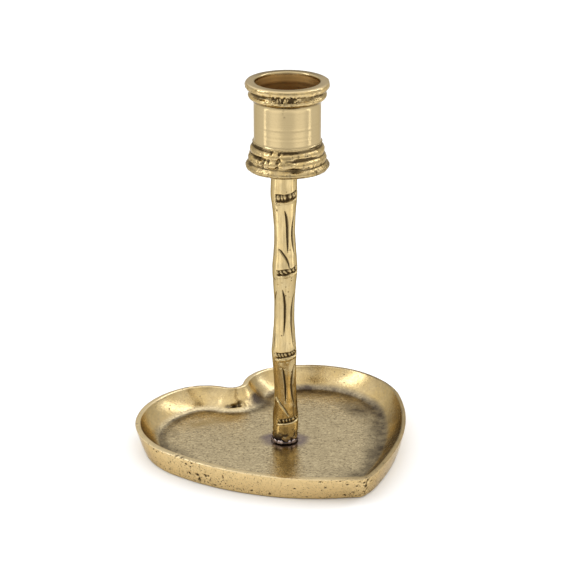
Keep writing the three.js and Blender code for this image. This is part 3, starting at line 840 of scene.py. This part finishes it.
def make_stem():
    """The stem with grooves, node bands, sprouts and a rough brazed foot, and a blind hole in each end."""
    bottom, top = STEM_LOW[2], STEM_HIGH[2]
    foot_hole_top, cup_hole_bottom = FOOT_SCREW_HIGH[2] + 1, CUP_SCREW_LOW[2] - 1
    heights = np.linspace(bottom + STEM_END_ROUND, top - STEM_END_ROUND, STEM_RINGS)
    outer = np.column_stack([stem_radius(heights), heights, np.zeros((len(heights), 2))])
    foot_hole = [(0.3, foot_hole_top, 0, 0), (SCREW_HOLE_RADIUS, foot_hole_top, 0, 0)]
    foot_hole += [(SCREW_HOLE_RADIUS, bottom, 0, 0)]
    cup_hole = [(SCREW_HOLE_RADIUS, top), (SCREW_HOLE_RADIUS, cup_hole_bottom), (0.3, cup_hole_bottom)]
    cup_hole = [(*row, *CUP_SHIFT) for row in cup_hole]
    foot_edge, top_edge = (outer[0, 0] - 0.15, bottom, 0, 0), (outer[-1, 0] - 0.15, top, 0, 0)
    grid, angles = turned_grid(np.vstack([foot_hole, foot_edge, outer, top_edge, cup_hole]), STEM_COLUMNS)
    first = len(foot_hole) + 1
    last = first + len(outer)
    rings = grid[first:last]
    skin = Skin(rings, angles)
    height, noise = skin.height, skin.noise

    skin.push += 0.07 * noise(5, 21) + 0.035 * noise(1.8, 22)
    stem_grooves(skin)
    stem_bands(skin)

    # scattered small pits, most of them below the nodes
    rng = np.random.default_rng(STEM_PIT_SEED)
    for _ in range(STEM_PITS):
        level = rng.choice(NODE_HEIGHTS) - abs(rng.normal(0, 3.2)) - 1.5
        turn, size = rng.uniform(-180, 180), rng.uniform(0.12, 0.28)
        skin.press(skin.pit(turn, level, size, STEM_MEAN_RADIUS), 0.18, 0.8)

    # the brazed foot: lumps and splatter, and a tint from the heat
    foot = smoothstep(8.6, 6.6, height + 0.5 * noise(2, 50))
    lumps = np.clip(noise(1.3, 51) + 0.35 * noise(0.6, 52), -0.6, 1)
    skin.push += foot * (0.3 * lumps - 0.04) * smoothstep(3.6, 5.4, height)
    skin.darken(foot * smoothstep(0.05, -0.35, lumps) * 0.9)
    skin.darken(0.85 * spot(((skin.degrees + 38) / 20) ** 2, ((height - 5.6) / 1.5) ** 2))
    stain = smoothstep(9.5, 5.0, height) * (0.25 + 0.35 * (noise(2.5, 53) > 0.05))

    rings[..., :2] += unit_circle(angles) * skin.push[..., None]
    bend = np.interp(heights, *BENDS)
    bend = np.convolve(np.pad(bend, 20, mode="edge"), np.ones(41) / 41, mode="valid")
    grid[first - 1: last + 1, :, :2] += np.pad(bend, 1, mode="edge")[:, None, None] * VIEW_RIGHT
    values = {}
    for name, field in (("patina_and_shade", skin.patina_and_shade), ("stain", stain)):
        values[name] = np.zeros(grid.shape[:2])
        values[name][first:last] = field
    return store_piece("bamboo_stem_cast", grid, stem_material(), values)


# --- candle cup
BAND_FOOT = 108.55  # the lashing of three strands reaches from here
BAND_TOP = 118.4  # to here
# Strands: height, half height, how far their crest stands out from the cup's axis, and how much they wander.
STRANDS = ((109.9, 1.42, 14.98, 0.0), (113.0, 1.42, 13.92, 0.22), (115.9, 1.38, 13.22, 0.3))
STRAND_TURNS = (0, 140, -120)  # where a strand slants over two others
GROOVES = ((136.65, 0.62), (133.35, 0.28))  # in the top roll: height and half height
# Leaf-shaped dark hollows: degrees from the front, height, half length in degrees, half height, depth.
HOLLOWS = (
    (-55, 136.6, 30, 0.8, 0.35), (66, 136.7, 34, 0.55, 0.3), (150, 136.6, 40, 0.7, 0.3),
    (-140, 136.6, 38, 0.7, 0.3), (5, 117.6, 17, 0.62, 0.3), (26, 114.75, 32, 0.72, 0.45),
    (-58, 114.5, 24, 0.62, 0.4), (12, 111.5, 20, 0.55, 0.35), (-72, 111.5, 22, 0.6, 0.3),
    (105, 114.6, 30, 0.7, 0.4), (140, 111.5, 40, 0.6, 0.35), (-150, 114.5, 38, 0.65, 0.4),
    (-62, 118.0, 24, 0.45, 0.25), (58, 118.1, 22, 0.4, 0.25),
)
# Knots where strands cross: degrees from the front, height, half width in degrees, half height.
KNOTS = (
    (-20, 116.3, 5.5, 1.35), (-23, 113.3, 6.0, 1.2), (-45, 113.0, 4.5, 1.0), (128, 116.2, 5.5, 1.3),
    (122, 113.1, 6.0, 1.2), (-142, 116.2, 5.5, 1.3), (-148, 113.1, 6.0, 1.2),
)
KNOT_PITS = ((-1.2, 0.75, 0.34), (1.25, 0.7, 0.42), (1.3, -0.8, 0.36))  # at a knot's corners: place and reach
ORNAMENT_TURNS = (0, 176)
ORNAMENT_HEIGHT = 136.7
BAND_PITS, BAND_PIT_SEED = 170, 8
BAND_PIT_LEVELS = (109.6, 110.4, 113.2, 115.9, 135.2, 138.4)
BARREL_PITS = ((-6.6, 132.6, 0.34), (-5.0, 130.3, 0.3), (-7.5, 131.6, 0.2), (40, 122.0, 0.2))
LATHE_RINGS = (119.4, 120.1, 120.9, 121.6, 122.9, 125.2)
LATHE_RING_DEPTH, LATHE_RING_WIDTH = 0.045, 0.22
BORE_WAVES = (1.7, 2.9)  # the spacing of the lathe's two waves in the bore


def cup_section():
    """The cup as a closed loop of radius and height: up the outside, over the mouth and down the bore."""
    bottom, top = CUP_LOW[2], CUP_HIGH[2]
    band = np.arange(BAND_FOOT, BAND_TOP, 0.15)
    turns = np.radians(np.linspace(-82, 90, 30))
    roll = 13.4 + (ROLL_RADIUS - 13.4) * np.sqrt(np.clip(np.cos(turns), 0, 1))
    seat = WASHER_LOW[2] - GAP
    return np.vstack([
        [(SCREW_HOLE_RADIUS, bottom), (13.3, bottom)],
        np.column_stack([np.full(len(band), 13.0), band]),
        [(BARREL_RADIUS, BAND_TOP + 0.2), (BARREL_RADIUS, BARREL_TOP), (12.0, 132.9), (12.6, 133.7)],
        rounding((12.95, 135.05), 0.85, -55, 75, 8),
        [(13.3, 136.1), (13.35, 137.2)],
        np.column_stack([roll, 138.7 + 1.3 * np.sin(turns)]),
        [(MOUTH_RADIUS + 0.12, top), (MOUTH_RADIUS, top - 0.12), (BORE_RADIUS, top - MOUTH_TAPER)],
        [(BORE_RADIUS, BORE_FLOOR + 0.6), (BORE_RADIUS - 0.2, BORE_FLOOR + 0.15)],
        [(BORE_RADIUS - 0.7, BORE_FLOOR), (WASHER_SEAT_RADIUS + 0.05, BORE_FLOOR), (WASHER_SEAT_RADIUS, seat)],
        [(SCREW_HOLE_RADIUS, seat), (SCREW_HOLE_RADIUS, bottom)],
    ])


def band_radius(skin):
    """The lashing's radius and how much of it is a hollow: strands that wander a little, slanting ones across
    two of them, and hollows between."""
    height = skin.height
    under = np.interp(height, (108.5, 111.4, 114.4, 117.3, 118.6), (13.5, 12.95, 12.45, 12.0, BARREL_RADIUS))
    radius = under.copy()
    for number, (level, half, crest, wander) in enumerate(STRANDS):
        share = (height - level - wander * skin.noise(14, 80 + number)) / half
        rise = crest - np.interp(level, (108.5, 117.3), (13.5, 12.0))
        radius = np.maximum(radius, under + rise * np.sqrt(np.clip(1 - share**2, 0, 1)))
    for turn in STRAND_TURNS:
        off = skin.off(turn)
        along = np.clip((off + 15) / 30, 0, 1)
        distance = height - (116.2 - 3.4 * along)
        inside = smoothstep(-19, -15, off) * smoothstep(22, 14, off)
        slanting = 12.55 + 1.15 * along + 0.55 * np.sqrt(np.clip(1 - (distance / 1.15) ** 2, 0, 1))
        raised = np.maximum(radius, under + (slanting - under) * inside)
        radius = np.where(np.abs(distance) < 1.15, raised, radius)
    hollow = smoothstep(0.85, 0.15, radius - under) * smoothstep(BAND_FOOT + 0.7, BAND_FOOT + 1.4, height)
    return radius, hollow * smoothstep(BAND_TOP - 0.1, BAND_TOP - 0.9, height)


def cup_marks(skin, outer):
    """Hollows, knots, ornament and pits on the cup's outside."""
    height, noise = skin.height, skin.noise
    for centre, level, half_angle, half_height, depth in HOLLOWS:
        a = skin.off(centre) / half_angle
        b = (height - level) / (half_height * np.sqrt(np.clip(1 - a * a, 0.01, 1)))
        skin.press(smoothstep(1.12, 0.7, np.hypot(a, b)) * outer, depth, 0.92)

    for centre, level, half_angle, half_height in KNOTS:
        a, b = skin.off(centre) / half_angle, (height - level) / half_height
        block = smoothstep(1.2, 0.7, np.maximum(np.abs(a), np.abs(b))) * outer
        skin.push += 0.38 * block
        skin.patina_and_shade *= 1 - block
        for corner_a, corner_b, reach in KNOT_PITS:
            skin.press(spot((a - corner_a) / reach, (b - corner_b) / 0.5, 1.3) * outer, 0.6, 1)

    # engraved ornament in the top groove: small bright beads between dark cuts, fainter towards the right
    for turn in ORNAMENT_TURNS:
        off = skin.off(turn)
        strength = 0.35 * smoothstep(62, 50, off) + 0.65 * smoothstep(20, 12, off)
        window = smoothstep(1.25, 0.95, np.abs(height - ORNAMENT_HEIGHT)) * outer
        window = window * strength * smoothstep(-27, -23, off)
        cut = smoothstep(0.5, 0.2, np.maximum(noise(0.62, 67), noise(0.5, 68)))
        skin.push += window * (0.24 - 0.42 * cut)
        skin.patina_and_shade = skin.patina_and_shade * (1 - window) + window * cut * 0.97

    rng = np.random.default_rng(BAND_PIT_SEED)
    for _ in range(BAND_PITS):
        level = rng.choice(BAND_PIT_LEVELS) + rng.normal(0, 0.5)
        turn, size = rng.uniform(-180, 180), rng.uniform(0.16, 0.38)
        skin.press(skin.pit(turn, level, size, CUP_MEAN_RADIUS) * outer, 0.2, 0.75)
    for turn, level, size in BARREL_PITS:
        skin.press(skin.pit(turn, level, size, BARREL_RADIUS) * outer, 0.08, 0.45)


def make_cup():
    """The cup with its lashing, knots and lumpy rolls, and its turned faces left plain."""
    section = resample(cup_section(), CUP_SPACING)[:-1]
    grid, angles = turned_grid(section, CUP_COLUMNS)
    skin = Skin(grid, angles)
    height, noise, top = skin.height, skin.noise, CUP_HIGH[2]

    radius = np.repeat(section[:, :1], CUP_COLUMNS, axis=1)
    outer = (radius > BARREL_RADIUS - 0.05) * 1.0
    band = outer * (height > BAND_FOOT - 0.01) * (height < BAND_TOP)
    lashing, hollow = band_radius(skin)
    rows = np.flatnonzero(band.max(axis=1))
    soft = lashing[rows]
    for _ in range(3):
        soft = (np.roll(soft, 1, axis=1) + 2 * soft + np.roll(soft, -1, axis=1)) / 4
        soft[1:-1] = (soft[:-2] + 2 * soft[1:-1] + soft[2:]) / 4
    radius[rows] = soft
    grid[..., :2] = unit_circle(angles) * radius[..., None]

    rolls = smoothstep(133.0, 133.9, height) * outer * smoothstep(top - 0.02, top - 0.5, height)
    rough_side = smoothstep(22, 42, skin.degrees) * smoothstep(110, 90, skin.degrees)
    rough_side = rough_side * smoothstep(113, 112.2, height)
    lumps = 0.12 * noise(3.4, 61) + 0.1 * noise(1.3, 62) - 0.03 + 0.1 * rough_side * noise(0.7, 69)
    skin.push = (band + rolls) * lumps - 0.15 * hollow * band
    skin.darken(hollow * band * np.clip(0.9 + 0.4 * noise(5, 65), 0, 1))
    skin.darken(0.75 * rough_side * band * smoothstep(-0.15, -0.5, noise(0.7, 69)))
    skin.darken(0.2 * band * smoothstep(113.5, 111.0, height))
    for level, half in GROOVES:
        near = bell(height - level + 0.16 * noise(4, 63) + 0.1 * noise(1.2, 64), half) * outer
        skin.press(near, 0.15, np.clip(0.55 + 0.5 * noise(5, 66), 0, 1))
    cup_marks(skin, outer)

    # faint rings left by the lathe near the barrel's foot and in the bore
    barrel = smoothstep(118.6, 119.2, height) * smoothstep(BARREL_TOP, BARREL_TOP - 0.6, height)
    barrel *= np.abs(radius - BARREL_RADIUS) < 0.05
    for level in LATHE_RINGS:
        skin.push -= LATHE_RING_DEPTH * barrel * bell(height - level, LATHE_RING_WIDTH)
    bore = (radius < BORE_RADIUS + 0.3) * (height > BORE_FLOOR - 1) * (height < top - 0.7) * 1.0
    turns = height * 2 * math.pi
    skin.push += 0.015 * bore * (np.sin(turns / BORE_WAVES[0]) + 0.6 * np.sin(turns / BORE_WAVES[1] + 1))

    moved = grid + grid_normals(grid) * skin.push[..., None]
    reach = np.linalg.norm(moved[..., :2], axis=-1, keepdims=True)
    moved[..., :2] *= np.minimum(1, (CUP_HIGH[0] - CUP_LOW[0]) / 2 / reach)
    moved[..., 2] = np.clip(moved[..., 2], CUP_LOW[2], top)
    lip = smoothstep(top - 0.5, top - 0.1, height) * outer
    # painted light on the lip: paler brass at the sides and painted shade at the back, set by the angle round
    # from the side that faces the camera
    painted_light_facing = np.cos(np.radians(skin.degrees))
    skin.darken(0.48 * lip * smoothstep(-0.2, -0.8, painted_light_facing))
    values = {"patina_and_shade": np.clip(skin.patina_and_shade, 0, 1), "turned": np.clip(1 - band - rolls, 0, 1), "bore": bore}
    values["lip"] = lip * (1 - 0.7 * painted_light_facing**2)
    return store_piece("candle_cup_turned", moved, cup_material(), values, ends="joined", axis=CUP_AXIS)


# --- fasteners and braze
def mottled(grid, size, seed, amount):
    """Uneven patina for a small piece."""
    return {"patina_and_shade": np.clip(0.5 + grid_noise(grid, size, seed), 0, 1) * amount}


def cut_slot(piece, middle, size):
    """Cuts a straight screwdriver slot: middle and size in millimetres, in the frame."""
    mesh = bpy.data.meshes.new("slot_cutter")
    box = bmesh.new()
    bmesh.ops.create_cube(box, size=1)
    for vertex in box.verts:
        vertex.co = [(middle[i] + vertex.co[i] * size[i]) * MM for i in range(3)]
    box.to_mesh(mesh)
    box.free()
    cutter = add_object("slot_cutter", mesh)
    cut = piece.modifiers.new("slot", "BOOLEAN")
    cut.object = cutter
    cut.solver = "EXACT"
    bpy.context.view_layer.update()
    made = bpy.data.meshes.new_from_object(piece.evaluated_get(bpy.context.evaluated_depsgraph_get()))
    piece.modifiers.clear()
    piece.data = made
    bpy.data.objects.remove(cutter)


def make_screw(name, material, before, shank, after, thread, axis, patina_and_shade):
    """A turned screw. before and after are the rows of radius and height below and above the shank, which lies
    between the heights in shank, and the thread runs out at the heights in thread."""
    heights = np.arange(*shank, SCREW_PITCH / 7)
    rows = np.column_stack([np.full(len(heights), SCREW_RADIUS), heights])
    grid, angles = turned_grid(np.vstack([before, rows, after]), SCREW_COLUMNS)
    threaded = slice(len(before), len(before) + len(rows))
    height = grid[threaded, :, 2]
    turn = (height / SCREW_PITCH - angles[None, :] / (2 * math.pi)) % 1
    low, high = thread
    depth = THREAD_DEPTH * np.abs(2 * turn - 1)
    depth *= smoothstep(low, low + 0.8, height) * smoothstep(high, high - 0.8, height)
    grid[threaded, :, :2] -= unit_circle(angles) * depth[..., None]
    return store_piece(name, grid, material, mottled(grid, 1.4, *patina_and_shade), axis=axis)


def make_cup_screw(material):
    """The slotted pan-head screw at the bottom of the bore."""
    low, high = CUP_SCREW_LOW[2], CUP_SCREW_HIGH[2]
    head = (CUP_SCREW_HIGH[0] - CUP_SCREW_LOW[0]) / 2
    seat = high - PAN_HEAD_HEIGHT
    tip = [(HUB, low), (SCREW_TIP_RADIUS, low), (SCREW_RADIUS - 0.1, low + 0.45)]
    crown = np.vstack([
        [(SCREW_RADIUS, seat), (head - 0.15, seat), (head, seat + 0.15)],
        rounding((head - 1.0, high - 1.0), 1.0, 0, 70, 7),
        [(head * 0.45, high - 0.02), (HUB, high)],
    ])
    shank, thread = (low + 0.5, seat), (low, seat)
    piece = make_screw("cup_screw_slotted", material, tip, shank, crown, thread, CUP_AXIS, (71, 0.4))
    cut_slot(piece, (*CUP_AXIS, high), (4 * head, SLOT_WIDTH, 2 * SLOT_DEPTH))
    return piece


def make_foot_screw(material):
    """The slotted countersunk screw under the dish."""
    low, high = FOOT_SCREW_LOW[2], FOOT_SCREW_HIGH[2]
    head = (FOOT_SCREW_HIGH[0] - FOOT_SCREW_LOW[0]) / 2
    neck = low + head - SCREW_RADIUS + 0.2
    cone = [(HUB, low), (head - 0.25, low), (head - 0.05, low + 0.08), (head, low + 0.3)]
    cone += [(SCREW_RADIUS, neck)]
    tip = [(SCREW_RADIUS - 0.1, high - 0.45), (SCREW_TIP_RADIUS, high), (HUB, high)]
    shank, thread = (neck + 0.1, high - 0.5), (neck, high)
    piece = make_screw("foot_screw_countersunk", material, cone, shank, tip, thread, STEM_AXIS, (72, 0.5))
    cut_slot(piece, (*STEM_AXIS, low), (SLOT_WIDTH, 4 * head, 2 * SLOT_DEPTH))
    return piece


def make_washer(material):
    """A plain washer with rolled edges, as a closed ring."""
    edge = 0.18
    inner, outer = SCREW_HOLE_RADIUS + edge, (WASHER_HIGH[0] - WASHER_LOW[0]) / 2 - edge
    low, high = WASHER_LOW[2] + edge, WASHER_HIGH[2] - edge
    section = [[(inner, WASHER_LOW[2])]]
    for corner, start, end in (
        ((outer, low), -90, 0), ((outer, high), 0, 90), ((inner, high), 90, 180), ((inner, low), 180, 260),
    ):
        section.append(rounding(corner, edge, start, end, 3))
    grid, _ = turned_grid(np.vstack(section), WASHER_COLUMNS)
    values = mottled(grid, 1.8, 73, 0.4)
    return store_piece("cup_washer_plain", grid, material, values, ends="joined", axis=CUP_AXIS)


DROPS, DROP_SEED = 26, 17
FRONT_DROPS = ((-50, 11), (-26, 9), (-14, 5), (22, 6), (46, 11))  # degrees from the front, half width


def make_braze_bead(material):
    """The ring of filler metal: drops of uneven size that run into each other."""
    low, high = BEAD_LOW[2], BEAD_HIGH[2]
    inner = STEM_FOOT_RADIUS - 0.02
    width = (BEAD_HIGH[0] - BEAD_LOW[0]) / 2 - inner
    arc = rounding((0, 0), 1.0, 0, 84, 16) * (width, high - low) + (inner, low)
    section = np.vstack([[(inner, low)], arc, [(inner, high - 0.25), (inner, (low + high) / 2)]])
    grid, angles = turned_grid(section, BEAD_COLUMNS)
    rng = np.random.default_rng(DROP_SEED)
    drops = np.zeros(len(angles))
    for _ in range(DROPS):
        centre, size = rng.uniform(0, 2 * math.pi), rng.uniform(0.07, 0.16)
        drops = np.maximum(drops, bell(angle_difference(angles, centre), size) * rng.uniform(0.5, 1))
    from_front = np.degrees(angle_difference(angles, FRONT_ANGLE))
    drops *= 0.55 + 0.45 * smoothstep(80, 110, np.abs(from_front))
    drops *= 1 - 0.8 * np.exp(-((from_front / 70) ** 8))
    for centre, size in FRONT_DROPS:
        drops = np.maximum(drops, 0.8 * np.exp(-(((from_front - centre) / size) ** 4)))
    reach = 0.12 + 0.88 * drops * (0.3 + 0.7 * smoothstep(95, 130, np.abs(from_front)))
    distance = np.linalg.norm(grid[..., :2], axis=-1)
    rise = grid[..., 2] - low
    outwards = inner + (distance - inner) * reach
    scaled = np.dstack([unit_circle(angles) * outwards[..., None], low + rise * (0.4 + 0.6 * drops)])
    lumps = grid_noise(scaled, 0.7, 74)
    rough = 0.1 * lumps * np.clip((distance - inner) / width, 0, 1)
    scaled[..., :2] += unit_circle(angles) * rough[..., None]
    patina_and_shade = np.clip(0.85 - 1.2 * drops, 0, 1) * np.ones(rise.shape)
    patina_and_shade = np.maximum(patina_and_shade, 0.7 * smoothstep(0.4, 0.15, rise / (high - low)))
    values = {"patina_and_shade": np.clip(patina_and_shade + 0.3 * lumps, 0, 1)}
    return store_piece("foot_braze_drops", scaled, material, values, ends="joined")


# --- stage, lights and camera
FLOOR_REACH = 12.0  # metres, far beyond the view
FLOOR_WHITE = (0.84, 0.84, 0.84, 1)
HORIZON = 0.88
OVERHEAD = 1.55
# The darker room behind the camera, and the dim patch above the backdrop: how far towards the camera's side and
# how far up, where the shade starts and where it is full, and how much of the light is left.
SHADES = ((0.93, 0.37, 0.88, 0.985, 0.6), (-0.92, 0.39, 0.82, 0.95, 0.76))

SOFTBOX_COLOR = (0.94, 1.0, 1.12)
SOFTBOX_DISTANCE = 0.75
SOFTBOX_AIM_HEIGHT = 0.06
# Softboxes: degrees from the camera's side, positive to its right, degrees above the floor, size, radiance.
SOFTBOXES = {"softbox_left": (-76, 36, (0.2, 0.5), 3.4), "softbox_right": (106, 40, (0.14, 0.6), 3.2)}
# Lights level with the floor on each side: degrees from the camera's side, height, size, radiance, and whether
# it faces up and shows in the upright faces. If not, it brightens the floor that those faces mirror.
FLOOR_LIGHTS = {
    "floor_wash": (43, 0.06, (0.25, 0.34), 0.85, False),
    "floor_strip": (82, 0.002, (0.06, 0.3), 1.25, True),
}
FLOOR_LIGHT_DISTANCE = 0.31

CAMERA_DISTANCE = 0.6928  # from the stem's axis, measured level
CAMERA_HEIGHT = 0.3347
CAMERA_PITCH = math.radians(21.3)
CAMERA_SIDE_STEP = -0.00026
FOCAL_LENGTH = 131.5


def make_stage():
    """A plain white floor, far larger than the view."""
    mesh = bpy.data.meshes.new("studio_floor")
    corners = [(x * FLOOR_REACH, y * FLOOR_REACH, 0) for x, y in ((-1, -1), (1, -1), (1, 1), (-1, 1))]
    mesh.from_pydata(corners, [], [(0, 1, 2, 3)])
    material = bpy.data.materials.new("studio_white")
    material.use_nodes = True
    shader = material.node_tree.nodes["Principled BSDF"]
    shader.inputs["Base Color"].default_value = FLOOR_WHITE
    shader.inputs["Roughness"].default_value = 1.0
    shader.inputs["Specular IOR Level"].default_value = 0.0
    mesh.materials.append(material)
    add_object("studio_floor", mesh)


def make_world():
    """White light from all round, brighter overhead, with the darker room and the dim patch opposite."""
    world = bpy.data.worlds.new("tent")
    bpy.context.scene.world = world
    world.use_nodes = True
    world.node_tree.nodes["Background"].inputs["Color"].default_value = (1, 1, 1, 1)
    n = Nodes(world.node_tree)
    place = n.node("TexCoord", {}).outputs["Generated"]

    def ramp(direction, *levels):
        """Light or shade that depends on the direction it comes from."""
        toward = n.node("VectorMath", {0: place, 1: direction}, operation="DOT_PRODUCT").outputs["Value"]
        return n.range(toward, *levels, interpolation_type="SMOOTHSTEP")

    strength = ramp((0, 0, 1), 0.1, 0.9, HORIZON, OVERHEAD)
    for near, up, start, full, left in SHADES:
        strength = n.math("MULTIPLY", strength, ramp((*(VIEW_NEAR * near), up), start, full, 1, left))
    n.feed(world.node_tree.nodes["Background"].inputs["Strength"], strength)


def add_light(name, size, radiance, place, rotation):
    """A rectangle of light that the camera doesn't see."""
    light = bpy.data.lights.new(name, "AREA")
    light.shape = "RECTANGLE"
    light.size, light.size_y = size
    light.energy = radiance * math.pi * light.size * light.size_y
    lamp = add_object(name, light)
    lamp.location = place
    lamp.rotation_euler = rotation
    lamp.visible_camera = False
    return lamp


def make_lights():
    """The two softboxes, and on each side the two lights level with the floor."""
    for name, (turn, lift, size, radiance) in SOFTBOXES.items():
        angle, rise = FRONT_ANGLE + math.radians(turn), math.radians(lift)
        level = SOFTBOX_DISTANCE * math.cos(rise)
        up = SOFTBOX_DISTANCE * math.sin(rise) + SOFTBOX_AIM_HEIGHT
        place = (level * math.cos(angle), level * math.sin(angle), up)
        lamp = add_light(name, size, radiance, place, (math.pi / 2 - rise, 0, angle + math.pi / 2))
        lamp.data.color = SOFTBOX_COLOR
    for side in (-1, 1):
        for name, (turn, height, size, radiance, shows) in FLOOR_LIGHTS.items():
            angle = FRONT_ANGLE + math.radians(turn * side)
            place = (FLOOR_LIGHT_DISTANCE * math.cos(angle), FLOOR_LIGHT_DISTANCE * math.sin(angle), height)
            rotation = (math.pi if shows else 0, 0, angle + math.pi / 2)
            add_light(f"{name}_{side + 1}", size, radiance, place, rotation).visible_glossy = shows


def make_camera():
    """The camera at the photograph's angle."""
    camera = add_object("camera", bpy.data.cameras.new("camera"))
    camera.data.lens = FOCAL_LENGTH
    camera.data.sensor_width = 36.0
    level = STEM_AXIS * MM + VIEW_NEAR * CAMERA_DISTANCE + VIEW_RIGHT * CAMERA_SIDE_STEP
    camera.location = (*level, CAMERA_HEIGHT)
    camera.rotation_euler = (math.pi / 2 - CAMERA_PITCH, 0, VIEW_AZIMUTH)
    bpy.context.scene.camera = camera


# --- the scene
make_camera()
make_stage()
make_world()
make_lights()
bpy.context.scene.view_settings.view_transform = "Standard"

screw_brass = plain_material("screw_dull_brass", SCREW_BRASS, RECESS_AND_SHADE_BROWN, 0.6, 0.01, 0.28, 0.42)
braze_filler = plain_material("braze_filler", FILLER, HEAT_VIOLET, 0.7, 0.04, 0.25, 0.45)
PIECES = (
    (make_dish(), "heart_dish", "dish_brass"),
    (make_stem(), "bamboo_stem", "stem_brass"),
    (make_cup(), "candle_cup", "cup_brass"),
    (make_cup_screw(screw_brass), "cup_screw", "screw_brass"),
    (make_washer(screw_brass), "cup_washer", "screw_brass"),
    (make_foot_screw(screw_brass), "foot_screw", "screw_brass"),
    (make_braze_bead(braze_filler), "foot_braze_bead", "braze_filler"),
)
for piece, node, slot in PIECES:
    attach(piece, "root")
    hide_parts(node)
